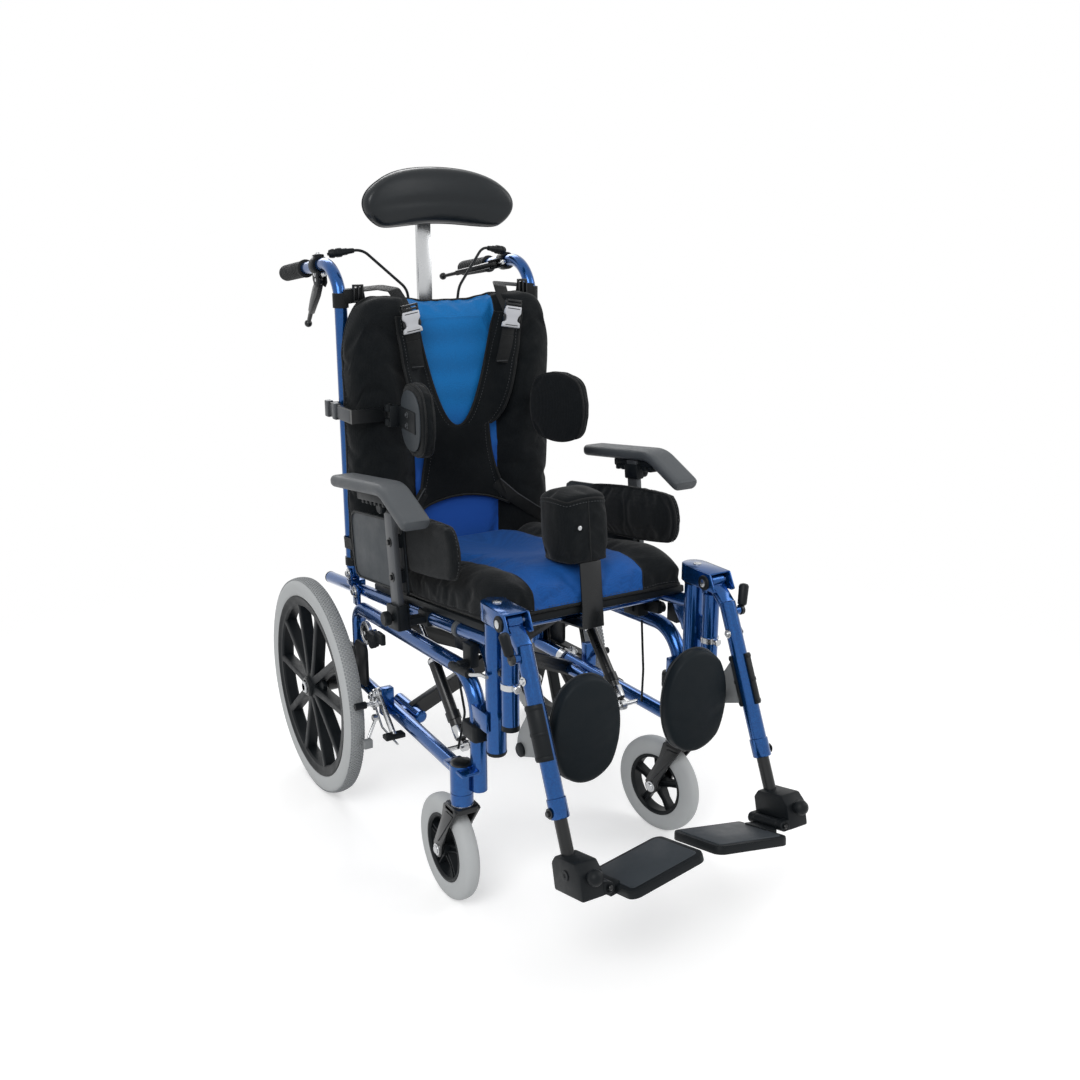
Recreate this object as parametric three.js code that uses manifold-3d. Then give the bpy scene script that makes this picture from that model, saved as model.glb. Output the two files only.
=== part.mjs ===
// Attendant wheelchair with a seat that tilts in space, in millimetres.
// The floor is z = 0, the front faces -Y, and the middle plane is x = 0.
// The sitter's left is +X. Most pieces are drawn for the left and mirrored for the right.
import * as THREE from 'three';
import { mergeVertices } from 'three/addons/utils/BufferGeometryUtils.js';
import Module from 'manifold-3d';

const wasm = await Module();
wasm.setup();

// Clearances
const touchGap = 0.3; // between pieces that touch
const runGap = 0.8; // between a pin and the wall of its hole
const overrun = 2; // how far a cutting tool passes its face
const mergeReach = 0.01; // points closer than this to a flat face are drawn out of it

// Widths, from the middle plane of the chair outward
const seatHalf = 180; // centre of a seat rail
const postOut = 1; // front post outside its rail
const caneOut = 8; // back cane outside the seat rail
const baseOut = 10; // base tubes outside the seat rail
const headOut = 21; // caster stem outside the base tubes
const wheelOut = 63; // middle plane of a rear wheel outside the base tubes
const padOut = 12; // edge of the back pad outside the canes
const postHalf = seatHalf + postOut;
const caneHalf = seatHalf + caneOut;
const baseHalf = seatHalf + baseOut;
const headHalf = baseHalf + headOut;
const wheelHalf = baseHalf + wheelOut;
const backPadHalf = caneHalf + padOut;

// Rear wheels and casters
const wheelRadius = 203;
const axleY = 338;
const axleRadius = 8;
const tyreWidth = 34;
const tyreDepth = 32;
const casterRadius = 86;
const casterWidth = 28;
const casterTyreDepth = 30;
const casterTrail = 47;
const casterStemRadius = 8;
const headY = -173;

// Base frame
const baseTube = 13; // radius
const uprightY = 268;
const baseRailRear = 367; // height of the top rail over the upright
const baseRailFront = 393; // height of the top rail over the down tube
const downTubeY = -190;
const lowerRailZ = 225;
const lowerTube = 12.5; // radius

// Seat frame
const railTube = 11; // radius
const railRearY = 427;
const railFall = 75;
const railFrontY = -203;
const railFrontZ = 453;
const railRearZ = railFrontZ - railFall;
const postY = -230;
const postTube = 15.5; // radius
const postFoot = 285;
const postRise = 37; // top of the front post above the front of the rail
const postTop = railFrontZ + postRise;
const tiltAhead = 6; // of the rear upright
const tiltY = uprightY - tiltAhead; // pivot of the seat on the base
const reclineBehind = 30;
const reclineY = tiltY + reclineBehind; // pivot of the back on the seat
const reclineRise = 30; // of that pivot above the seat rail
const strutCrossY = 98;

// Back
const caneTube = 11; // radius
const handleRise = 552; // height of the handle bend above the recline pivot
const handleRun = 266; // how far the handles reach behind the canes
const handleFall = 32;
const backPadLow = 24;
const padBelowHandle = 60;
const backPadHigh = handleRise - padBelowHandle;
const headPostY = 62;

// Legrests
const kneeY = -280;
const kneeRise = 15.5; // above the front post
const kneeZ = postTop + kneeRise;
const legTube = 12.5; // radius
const legLean = THREE.MathUtils.degToRad(24);
const legOffset = 17.4; // leg tube ahead of the knee pivot

// Facets round a tube, a pin and the wheels
const tubeSides = 10;
const pinSides = 8;
const wheelSides = 28;
const casterSides = 20;

// Colours and surfaces
const finishes = {
  blue: { color: 0x1b3f8b, roughness: 0.3, metalness: 0.75 },
  black: { color: 0x17191b, roughness: 0.5, metalness: 0.1 },
  grey: { color: 0x4b4e50, roughness: 0.5, metalness: 0.1 },
  silver: { color: 0xb9bcc0, roughness: 0.3, metalness: 0.9 },
  tyre: { color: 0x9b9b99, roughness: 0.8, metalness: 0 },
  padBlack: { color: 0x16191b, roughness: 0.8, metalness: 0 },
  padBlue: { color: 0x1f4f9a, roughness: 0.85, metalness: 0 },
};

const V = (x, y, z) => new THREE.Vector3(x, y, z);
const railSlope = (railRearZ - railFrontZ) / (railRearY - railFrontY);
const railZ = (y) => railFrontZ + railSlope * (y - railFrontY);
const middle = (a, b) => (a + b) / 2;
const clamp = (value, low, high) => Math.min(Math.max(value, low), high);
const both = [-1, 1];

// Solids and booleans

function solid(geometry) {
  const bare = geometry.clone();
  bare.deleteAttribute('normal');
  bare.deleteAttribute('uv');
  const merged = mergeVertices(bare);
  const vertProperties = new Float32Array(merged.attributes.position.array);
  const triVerts = new Uint32Array(merged.index.array);
  const whole = new wasm.Manifold(new wasm.Mesh({ numProp: 3, vertProperties, triVerts }));
  return whole.volume() < 0 ? solid(turnedOut(geometry)) : whole;
}

// Flat stretches are drawn with as few triangles as they need
function bufferOf(manifold) {
  const mesh = manifold.asOriginal().simplify(mergeReach).getMesh();
  const geometry = new THREE.BufferGeometry();
  const positions = new Float32Array(mesh.vertProperties);
  geometry.setAttribute('position', new THREE.BufferAttribute(positions, mesh.numProp));
  geometry.setIndex(new THREE.BufferAttribute(new Uint32Array(mesh.triVerts), 1));
  return geometry;
}

function fuse(...geometries) {
  let whole = solid(geometries[0]);
  for (const piece of geometries.slice(1)) whole = whole.add(solid(piece));
  return bufferOf(whole);
}

function cut(geometry, ...tools) {
  let whole = solid(geometry);
  for (const tool of tools) whole = whole.subtract(solid(tool));
  return bufferOf(whole);
}

// Faces turned the other way round, where an outline ran clockwise
function turnedOut(geometry) {
  const copy = geometry.index ? geometry.toNonIndexed() : geometry.clone();
  const at = copy.attributes.position;
  for (let i = 0; i < at.count; i += 3) {
    const second = new THREE.Vector3().fromBufferAttribute(at, i + 1);
    const third = new THREE.Vector3().fromBufferAttribute(at, i + 2);
    at.setXYZ(i + 1, third.x, third.y, third.z);
    at.setXYZ(i + 2, second.x, second.y, second.z);
  }
  return copy;
}

function mirrored(geometry) {
  return turnedOut(geometry.clone().scale(-1, 1, 1));
}

// Basic shapes

function block(low, high) {
  const size = high.clone().sub(low);
  const centre = low.clone().lerp(high, 0.5);
  return new THREE.BoxGeometry(size.x, size.y, size.z).translate(centre.x, centre.y, centre.z);
}

// A block from the middle of its faces and its size
function blockAbout(centre, size) {
  return new THREE.BoxGeometry(size.x, size.y, size.z).translate(centre.x, centre.y, centre.z);
}

function rod(from, to, radius, sides = tubeSides) {
  const along = to.clone().sub(from);
  const turn = new THREE.Quaternion().setFromUnitVectors(V(0, 1, 0), along.clone().normalize());
  const centre = from.clone().lerp(to, 0.5);
  const body = new THREE.CylinderGeometry(radius, radius, along.length(), sides);
  return body.applyQuaternion(turn).translate(centre.x, centre.y, centre.z);
}

// A rod across the chair, between two distances from the middle plane
function crossRod(x0, x1, y, z, radius, sides = tubeSides) {
  return rod(V(x0, y, z), V(x1, y, z), radius, sides);
}

// The radius of a facetted hole that a pin can turn in
function holeFor(radius, gap = runGap / 2, sides = pinSides) {
  return (radius + gap) / Math.cos(Math.PI / sides);
}

// A straight bar of rectangular section between two points of a side view
function bar(from, to, across, thick) {
  const along = to.clone().sub(from);
  const centre = from.clone().lerp(to, 0.5);
  return new THREE.BoxGeometry(across, along.length(), thick)
    .rotateX(Math.atan2(along.z, along.y))
    .translate(centre.x, centre.y, centre.z);
}

// A plate with its outline in the side view and its thickness across the chair
function sidePlate(outline, x0, x1) {
  const shape = new THREE.Shape(outline.map(([y, z]) => new THREE.Vector2(y, z)));
  const plate = new THREE.ExtrudeGeometry(shape, { depth: x1 - x0, bevelEnabled: false });
  const sideView = new THREE.Matrix4().makeBasis(V(0, 1, 0), V(0, 0, 1), V(1, 0, 0));
  return plate.applyMatrix4(sideView).translate(x0, 0, 0);
}

// A path with round corners, sampled only where it bends
class PipeRoute extends THREE.Curve {
  constructor(stations) {
    super();
    this.stations = stations;
  }

  getPoint(t, target = new THREE.Vector3()) {
    const last = this.stations.length - 1;
    const place = clamp(t, 0, 1) * last;
    const index = Math.min(Math.floor(place), last - 1);
    return target.copy(this.stations[index]).lerp(this.stations[index + 1], place - index);
  }

  getPointAt(u, target) {
    return this.getPoint(u, target);
  }

  getTangentAt(u, target = new THREE.Vector3()) {
    const last = this.stations.length - 1;
    const index = Math.round(u * last);
    const before = this.stations[Math.max(index - 1, 0)];
    const after = this.stations[Math.min(index + 1, last)];
    return target.copy(after).sub(before).normalize();
  }
}

const bendStep = THREE.MathUtils.degToRad(18);

function roundCorners(points, bend) {
  const stations = [points[0]];
  for (let i = 1; i < points.length - 1; i += 1) {
    const into = points[i].clone().sub(points[i - 1]).normalize();
    const out = points[i + 1].clone().sub(points[i]).normalize();
    const angle = into.angleTo(out);
    const start = points[i].clone().addScaledVector(into, -bend * Math.tan(angle / 2));
    const toCentre = out.clone().addScaledVector(into, -out.dot(into)).normalize();
    const steps = Math.max(2, Math.ceil(angle / bendStep));
    for (let k = 0; k <= steps; k += 1) {
      const turned = (angle * k) / steps;
      stations.push(start.clone()
        .addScaledVector(into, bend * Math.sin(turned))
        .addScaledVector(toCentre, bend * (1 - Math.cos(turned))));
    }
  }
  stations.push(points[points.length - 1]);
  return stations;
}

function pipe(stations, radius, sides = tubeSides) {
  const ring = new THREE.Shape().absarc(0, 0, radius, 0, 2 * Math.PI);
  return new THREE.ExtrudeGeometry(ring, {
    extrudePath: new PipeRoute(stations),
    steps: stations.length - 1,
    curveSegments: sides / 2,
    bevelEnabled: false,
  });
}

// A ring about the X axis from a closed outline of [radius, x] points
function wheelRing(outline, sides) {
  const profile = outline.map(([radius, x]) => new THREE.Vector2(radius, x));
  profile.push(profile[0].clone());
  return bufferOf(solid(new THREE.LatheGeometry(profile, sides).rotateZ(-Math.PI / 2)));
}

// A soft form: a unit block whose points are carried to their place by a function
function softForm(counts, carry) {
  const form = new THREE.BoxGeometry(2, 2, 2, ...counts);
  form.deleteAttribute('normal');
  form.deleteAttribute('uv');
  const merged = mergeVertices(form);
  const at = merged.attributes.position;
  for (let i = 0; i < at.count; i += 1) {
    const place = carry(at.getX(i), at.getY(i), at.getZ(i));
    at.setXYZ(i, place.x, place.y, place.z);
  }
  return bufferOf(solid(merged));
}

// A pad: u and w run across its face and v through it; its outline is rounded, its face crowned, its sides drawn in
function padPoint(u, v, w, half, shares) {
  const drawn = 1 - shares.tuck * v * v;
  const across = u * Math.sqrt(1 - (shares.round * w * w) / 2);
  const up = w * Math.sqrt(1 - (shares.round * u * u) / 2);
  const crown = 1 - shares.crown * (1 - (1 - u * u) * (1 - w * w));
  return V(across * half.x * drawn, v * half.y * crown, up * half.z * drawn);
}

// The chair and its groups

const chair = new THREE.Group();
const seatGroup = new THREE.Group();
seatGroup.position.set(0, railFrontY, railFrontZ);
seatGroup.rotation.x = Math.atan(railSlope);
seatGroup.updateMatrix();
chair.add(seatGroup);
const reclineZ = railZ(reclineY) + reclineRise;
const backGroup = new THREE.Group();
backGroup.position.set(0, reclineY, reclineZ);
chair.add(backGroup);

function add(group, name, geometry, look) {
  const mesh = new THREE.Mesh(geometry, new THREE.MeshStandardMaterial(finishes[look]));
  mesh.name = name;
  mesh.geometry.computeVertexNormals();
  group.add(mesh);
}

function addPair(group, name, leftGeometry, look) {
  add(group, `${name}_left`, leftGeometry, look);
  add(group, `${name}_right`, mirrored(leftGeometry), look);
}

// Base side frame: one bent tube, the lower rail and the caster's head tube

const frontBend = 62; // bend radius of the down tube
const rearBend = 30;
const downTubeReach = 17; // below the lower rail
const downTubeFoot = lowerRailZ - downTubeReach;
const headTube = 18; // radius
const headDrop = 42; // below the lower rail
const headRise = 25; // above it
const headLow = lowerRailZ - headDrop;
const headTop = lowerRailZ + headRise;
const headCap = 18; // solid top of the head tube

function mainTube() {
  const rearCorner = V(baseHalf, uprightY, baseRailRear);
  const frontCorner = V(baseHalf, downTubeY, baseRailFront);
  const rear = roundCorners([V(baseHalf, uprightY, lowerRailZ), rearCorner, frontCorner], rearBend);
  const front = roundCorners([rearCorner, frontCorner, V(baseHalf, downTubeY, downTubeFoot)], frontBend);
  return pipe([...rear.slice(0, -1), ...front.slice(1)], baseTube);
}

function sideFrame() {
  const lowerFront = V(headHalf - headTube / 2, headY, lowerRailZ);
  const lowerRail = rod(V(baseHalf, uprightY, lowerRailZ), lowerFront, lowerTube);
  const head = rod(V(headHalf, headY, headLow), V(headHalf, headY, headTop), headTube);
  const headBore = rod(V(headHalf, headY, headLow - overrun), V(headHalf, headY, headTop - headCap),
    holeFor(casterStemRadius, runGap, tubeSides));
  const frame = fuse(mainTube(), lowerRail, head, braceStub(), tiltEar(), saddle(), strutPinRod(), lockMount(),
    axlePlate());
  return cut(frame, headBore, saddleSlot());
}

// The short tube inside the lower rail that carries the cross brace
const stubIn = 22; // inside the base tube
const stubHalf = baseHalf - stubIn;
const stubTube = 11; // radius
const stubFront = 58;
const stubRear = 152;
const stubY = middle(stubFront, stubRear);

function braceStub() {
  const tube = rod(V(stubHalf, stubFront, lowerRailZ), V(stubHalf, stubRear, lowerRailZ), stubTube);
  const web = block(V(stubHalf, stubY - stubTube, lowerRailZ - stubTube / 2),
    V(baseHalf + lowerTube / 2, stubY + stubTube, lowerRailZ + stubTube / 2));
  return fuse(tube, web);
}

// The ear beside the seat rail, with the pin that the seat tilts on
const earThick = 6;
const earRadius = 13;
const tiltPin = 5; // radius
const tiltZ = railZ(tiltY);

function tiltEar() {
  const inner = seatHalf + railTube + 2 * touchGap;
  const plate = block(V(inner, tiltY - earRadius, baseRailRear), V(inner + earThick, tiltY + earRadius, tiltZ));
  const top = crossRod(inner, inner + earThick, tiltY, tiltZ, earRadius);
  const pin = crossRod(seatHalf - railTube, inner + earThick / 2, tiltY, tiltZ, tiltPin);
  return fuse(plate, top, pin);
}

// The saddle that the seat's front post stands in; it is open to the front
const saddleLow = 322;
const saddleHigh = 352;
const saddleWall = 5;

function saddle() {
  const reach = postTube + touchGap + saddleWall;
  return block(V(postHalf - reach, postY - postTube / 2, saddleLow), V(postHalf + reach, downTubeY, saddleHigh));
}

function saddleSlot() {
  const slot = postTube + 2 * touchGap;
  const round = rod(V(postHalf, postY, saddleLow - overrun), V(postHalf, postY, saddleHigh + overrun), slot);
  const mouth = block(V(postHalf - slot, postY - 2 * postTube, saddleLow - overrun),
    V(postHalf + slot, postY, saddleHigh + overrun));
  return fuse(round, mouth);
}

// Gas strut places; the foot pin belongs to the base and the head lug to the seat
const strutIn = 24; // strut inside the seat rail
const strutFootY = -75;
const strutDrop = 7.2; // head below the seat rail
const strutHeadZ = railZ(strutCrossY) - strutDrop;
const strutHalf = seatHalf - strutIn;
const strutFoot = V(strutHalf, strutFootY, lowerRailZ);
const strutHead = V(strutHalf, strutCrossY, strutHeadZ);
const strutPin = 4; // radius
const strutEye = 9; // radius

function strutPinRod() {
  return crossRod(strutFoot.x - strutEye, baseHalf + lowerTube / 2, strutFoot.y, strutFoot.z, strutPin, pinSides);
}

// The bracket on the lower rail that the wheel lock turns on
const lockY = 112;
const lockRise = 37; // above the lower rail
const lockZ = lowerRailZ + lockRise;
const lockPin = 4; // radius
const lockThick = 6;
const lockStand = 18; // lock lever outside the lower rail
const lockInner = baseHalf + lowerTube + lockStand;

function lockMount() {
  const half = 2 * lockPin;
  const bracket = block(V(baseHalf + lowerTube / 2, lockY - half, lowerRailZ),
    V(lockInner - touchGap, lockY + half, lockZ + half));
  const pin = crossRod(lockInner - half, lockInner + lockThick + lockPin, lockY, lockZ, lockPin, pinSides);
  return fuse(bracket, pin);
}

// The plate behind the upright with its stub axle, spacer and nut
const axlePlateThick = 6;
const axlePlateTop = 298;
const axlePlateLow = 187;
const axlePlateAhead = 18; // of the upright
const axlePlateFront = uprightY - axlePlateAhead;
const axlePlateReach = 16; // behind and below the axle
const hubHalf = 18;
const axleNutRadius = 12;
const axleNutThick = 7;
const nutSides = 6;

function axlePlate() {
  const inner = baseHalf + baseTube - overrun;
  const outer = baseHalf + baseTube + axlePlateThick;
  const plate = sidePlate([
    [axlePlateFront, axlePlateLow],
    [axleY + axlePlateReach, axlePlateLow],
    [axleY + axlePlateReach, wheelRadius + axlePlateReach],
    [uprightY + axlePlateReach, axlePlateTop],
    [axlePlateFront, axlePlateTop],
  ], inner, outer);
  const hubInner = wheelHalf - hubHalf - touchGap;
  const hubOuter = wheelHalf + hubHalf + touchGap;
  const spacer = crossRod(inner, hubInner, axleY, wheelRadius, 2 * axleRadius);
  const axle = crossRod(inner, hubOuter + axleNutThick, axleY, wheelRadius, axleRadius);
  const nut = crossRod(hubOuter, hubOuter + axleNutThick, axleY, wheelRadius, axleNutRadius, nutSides);
  return fuse(plate, spacer, axle, nut);
}

addPair(chair, 'side_frame', sideFrame(), 'blue');

// Cross brace: two flat bars bolted where they cross

const braceWidth = 26;
const braceThick = 14;
const braceStep = 24; // between the two bars, front to back
const braceBolt = 7; // radius

function crossBrace() {
  const topZ = middle(baseRailRear, baseRailFront);
  const crossShare = stubHalf / (stubHalf + baseHalf);
  const crossZ = lowerRailZ + (topZ - lowerRailZ) * crossShare;
  const bars = both.map((side) => {
    const y = stubY + (side * braceStep) / 2;
    const low = V(side * stubHalf, y, lowerRailZ);
    const along = V(-side * baseHalf, y, topZ).sub(low);
    const centre = low.clone().addScaledVector(along, 0.5);
    return new THREE.BoxGeometry(along.length(), braceThick, braceWidth)
      .rotateY(-Math.atan2(along.z, along.x))
      .translate(centre.x, centre.y, centre.z);
  });
  const bolt = rod(V(0, stubY - braceStep, crossZ), V(0, stubY + braceStep, crossZ), braceBolt, pinSides);
  const ends = both.flatMap((side) => {
    const spread = baseHalf + baseTube + braceWidth;
    const stub = rod(V(side * stubHalf, stubFront - overrun, lowerRailZ), V(side * stubHalf, stubRear + overrun, lowerRailZ),
      stubTube + 2 * touchGap);
    const foot = blockAbout(V((side * (stubHalf + spread)) / 2, stubY, lowerRailZ),
      V(spread - stubHalf, stubRear - stubFront, 2 * stubTube));
    const rail = rod(V(side * baseHalf, uprightY, baseRailRear), V(side * baseHalf, downTubeY, baseRailFront),
      baseTube + 2 * touchGap);
    const past = blockAbout(V((side * (baseHalf + spread)) / 2, stubY, topZ),
      V(spread - baseHalf, stubRear - stubFront, 2 * braceWidth));
    return [stub, foot, rail, past];
  });
  return cut(fuse(...bars, bolt), ...ends);
}

add(chair, 'cross_brace', crossBrace(), 'black');

// Rear wheels: a moulded rim with pairs of spokes, and a solid grey tyre

const rimDepth = 20;
const rimInset = 2; // rim narrower than the tyre, each side
const rimTaper = 3;
const hubRadius = 24;
const spokePairs = 5;
const spokeTipAngle = THREE.MathUtils.degToRad(17);
const spokeRootAngle = THREE.MathUtils.degToRad(14);
const spokeWidth = 13;
const spokeDepth = 22;
const rimOuter = wheelRadius - tyreDepth;

function rearRim() {
  const half = tyreWidth / 2 - rimInset;
  const ring = wheelRing([
    [rimOuter - rimDepth, rimTaper - half],
    [rimOuter - touchGap, -half],
    [rimOuter - touchGap, half],
    [rimOuter - rimDepth, half - rimTaper],
  ], wheelSides);
  const hub = crossRod(-hubHalf, hubHalf, 0, 0, hubRadius, casterSides / 2);
  const spokes = [];
  for (let pair = 0; pair < spokePairs; pair += 1) {
    const centre = (2 * Math.PI * pair) / spokePairs;
    for (const side of both) {
      const root = centre + side * 2 * spokeRootAngle;
      const tip = centre + side * spokeTipAngle;
      const from = V(0, Math.sin(root), Math.cos(root)).multiplyScalar(hubRadius - spokeWidth / 2);
      const to = V(0, Math.sin(tip), Math.cos(tip)).multiplyScalar(rimOuter - rimDepth / 2);
      spokes.push(bar(from, to, spokeDepth, spokeWidth));
    }
  }
  const bore = crossRod(-hubHalf - overrun, hubHalf + overrun, 0, 0, holeFor(axleRadius, runGap, tubeSides));
  return cut(fuse(ring, hub, ...spokes), bore).translate(wheelHalf, axleY, wheelRadius);
}

// The tyre's outline from its bead to its tread, as shares of its depth and half width
const tyreShares = [[0, 0.8], [0.5, 1], [0.86, 0.72], [1, 0.25]];

function tyreRing(radius, depth, width, sides) {
  const inner = radius - depth;
  const outline = tyreShares.map(([up, out]) => [inner + up * depth, (out * width) / 2]);
  const other = outline.map(([r, x]) => [r, -x]).reverse();
  return wheelRing([...outline, ...other], sides);
}

const rearTyre = tyreRing(wheelRadius, tyreDepth, tyreWidth, wheelSides).translate(wheelHalf, axleY, wheelRadius);
addPair(chair, 'rear_rim', rearRim(), 'black');
addPair(chair, 'rear_tyre', rearTyre, 'tyre');

// Casters: fork, rim and tyre, drawn about the stem and then turned

const casterYaw = THREE.MathUtils.degToRad(12); // the left caster stands turned
const forkGap = 3; // tyre to fork leg
const forkLegThick = 5;
const crownThick = 10;
const crownRear = 22;
const crownFront = 20;
const forkFoot = 12; // fork leg round the axle
const casterAxle = 4.5; // radius
const casterHub = 13; // radius
const casterRing = 7;
const casterSpokes = 5;
const casterSpokeWidth = 11;

function casterFork() {
  const inner = casterWidth / 2 + forkGap;
  const outer = inner + forkLegThick;
  const crownTop = headLow - 2 * touchGap;
  const crownLow = crownTop - crownThick;
  const crown = block(V(-outer, -crownFront, crownLow), V(outer, crownRear, crownTop));
  const leg = [
    [-crownFront, crownLow + crownThick / 2],
    [crownRear, crownLow + crownThick / 2],
    [casterTrail + forkFoot, casterRadius + forkFoot],
    [casterTrail + forkFoot, casterRadius - forkFoot],
    [casterTrail - forkFoot, casterRadius - forkFoot],
    [casterTrail - forkFoot, casterRadius + forkFoot],
  ];
  const stem = rod(V(0, 0, crownLow), V(0, 0, headTop - headCap - overrun), casterStemRadius);
  const reach = outer + casterAxle;
  const axle = crossRod(-reach, reach, casterTrail, casterRadius, casterAxle);
  return fuse(crown, sidePlate(leg, inner, outer), sidePlate(leg, -outer, -inner), stem, axle);
}

function casterRim() {
  const half = casterWidth / 2 - rimInset;
  const outer = casterRadius - casterTyreDepth;
  const ring = wheelRing([
    [outer - casterRing, -half],
    [outer - touchGap, -half],
    [outer - touchGap, half],
    [outer - casterRing, half],
  ], casterSides);
  const hubEnd = casterWidth / 2 + forkGap - touchGap;
  const hub = crossRod(-hubEnd, hubEnd, 0, 0, casterHub);
  const reach = outer - casterRing / 2;
  const spokes = Array.from({ length: casterSpokes }, (_, k) => {
    const spoke = new THREE.BoxGeometry(casterWidth / 2, casterSpokeWidth, reach);
    return spoke.translate(0, 0, reach / 2).rotateX((2 * Math.PI * k) / casterSpokes);
  });
  const bore = crossRod(-casterWidth, casterWidth, 0, 0, holeFor(casterAxle, runGap, tubeSides));
  return cut(fuse(ring, hub, ...spokes), bore).translate(0, casterTrail, casterRadius);
}

for (const [side, name, yaw] of [[1, 'left', casterYaw], [-1, 'right', 0]]) {
  const caster = new THREE.Group();
  caster.position.set(side * headHalf, headY, 0);
  caster.rotation.z = yaw;
  chair.add(caster);
  const tyre = tyreRing(casterRadius, casterTyreDepth, casterWidth, casterSides);
  add(caster, `caster_fork_${name}`, casterFork(), 'black');
  add(caster, `caster_rim_${name}`, casterRim(), 'black');
  add(caster, `caster_tyre_${name}`, tyre.translate(0, casterTrail, casterRadius), 'tyre');
}

// Wheel locks: a pedal lever whose nose swings up against the tyre

const lockNose = 26; // nose to pivot
const lockTip = 4; // radius
const lockAngle = THREE.MathUtils.degToRad(-60);
const pedalRun = 62;
const pedalDrop = 54;
const pedalArm = 14;
const pedalTread = 18;
const pedalThick = 8;

function wheelLock() {
  const outer = lockInner + lockThick;
  const noseY = lockNose * Math.cos(lockAngle);
  const noseZ = lockNose * Math.sin(lockAngle);
  const centre = middle(lockInner, outer);
  const pedal = V(centre, -pedalRun, -pedalDrop);
  const arm = bar(V(centre, 0, 0), pedal, lockThick, pedalArm);
  const noseArm = bar(V(centre, 0, 0), V(centre, noseY, noseZ), lockThick, 2 * lockTip);
  const hub = crossRod(lockInner, outer, 0, 0, 2 * lockPin + lockTip / 2);
  const tip = crossRod(lockInner, wheelHalf + tyreWidth / 4, noseY, noseZ, lockTip, pinSides);
  const tread = blockAbout(pedal, V(2 * pedalTread, pedalTread, pedalThick));
  const bore = crossRod(lockInner - overrun, outer + overrun, 0, 0, holeFor(lockPin), pinSides);
  return cut(fuse(arm, noseArm, hub, tip, tread), bore).translate(0, lockY, lockZ);
}

addPair(chair, 'wheel_lock', wheelLock(), 'silver');

// Gas struts: a cylinder on the base and a rod with a fork at the seat

const strutBody = 10; // radius
const strutRod = 4; // radius
const lugThick = 6;
const forkThick = 5;
const forkWidth = 14;
const forkDepth = 23; // head pin to the base of the fork
const forkTip = 4.5; // past the head pin
const cylinderShare = 0.62; // of the strut's length
const rodStartShare = 0.24;
const boreStartShare = 0.2;

const strutWay = strutHead.clone().sub(strutFoot);
const onStrut = (share) => strutFoot.clone().addScaledVector(strutWay, share);

function strutCylinder() {
  const body = rod(onStrut(0), onStrut(cylinderShare), strutBody);
  const eye = crossRod(strutFoot.x - strutEye / 2, strutFoot.x + strutEye / 2, strutFoot.y, strutFoot.z, strutEye);
  const bore = rod(onStrut(boreStartShare), onStrut(1), holeFor(strutRod, runGap, tubeSides));
  const sides = both.map((side) => blockAbout(
    V(strutFoot.x + side * (strutEye / 2 + strutBody), strutFoot.y, strutFoot.z),
    V(2 * strutBody, 2 * strutBody, 2 * strutBody)));
  const low = blockAbout(V(strutFoot.x, strutFoot.y, strutFoot.z - strutEye - strutBody),
    V(4 * strutBody, 4 * strutBody, 2 * strutBody));
  const eyeBore = crossRod(strutFoot.x - 2 * strutEye, strutFoot.x + 2 * strutEye, strutFoot.y, strutFoot.z,
    holeFor(strutPin), pinSides);
  return cut(fuse(body, eye), bore, eyeBore, low, ...sides);
}

function strutRodPiece() {
  const wayLength = strutWay.length();
  const shaft = rod(onStrut(rodStartShare), onStrut(1 - (forkDepth - forkThick / 2) / wayLength), strutRod, pinSides);
  const inner = lugThick / 2 + touchGap;
  const outer = inner + forkThick;
  const prong = (x0, x1) => block(V(x0, -forkDepth, -forkWidth / 2), V(x1, forkTip, forkWidth / 2));
  const base = block(V(-outer, -forkDepth, -forkWidth / 2), V(outer, forkThick - forkDepth, forkWidth / 2));
  const fork = fuse(prong(inner, outer), prong(-outer, -inner), base);
  fork.rotateX(Math.atan2(strutWay.z, strutWay.y)).translate(strutHead.x, strutHead.y, strutHead.z);
  return fuse(shaft, fork);
}

addPair(chair, 'strut_cylinder', strutCylinder(), 'black');
addPair(chair, 'strut_rod', strutRodPiece(), 'silver');

// Seat frame: two rails, the front posts, the cross tubes, the sockets and the ears for the back

const crossTube = 9; // radius
const frontCrossY = -150;
const lugReach = 24; // strut head to its cross tube
const webReach = 58;
const webThick = 6;
const hangerPin = 9; // radius
const hangerPinLength = 58;

function seatSide() {
  const rail = rod(V(seatHalf, railRearY, railRearZ), V(seatHalf, postY, railZ(postY)), railTube);
  const post = rod(V(postHalf, postY, postFoot), V(postHalf, postY, postTop), postTube);
  const web = sidePlate([
    [postY, railZ(postY) - webReach],
    [postY + postTube + railTube, railZ(postY) - webReach + railTube],
    [postY + webReach, railZ(postY + webReach)],
    [postY, railZ(postY)],
  ], seatHalf - webThick / 2, seatHalf + webThick / 2);
  const lug = block(V(strutHead.x - lugThick / 2, strutHead.y - forkWidth / 2, strutHead.z - strutEye),
    V(strutHead.x + lugThick / 2, strutHead.y + lugReach, strutHead.z + strutEye));
  return fuse(rail, post, web, lug, armSocket(), reclineEars());
}

// The socket that the armrest post slides in, in the seat's own frame
const armPostY = 195;
const armPostOut = 53; // outside the seat rail
const armPostHalf = seatHalf + armPostOut;
const armPostThick = 10;
const armPostWidth = 28;
const socketWall = 6;
const socketLow = -10;
const socketHigh = 30;

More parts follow.
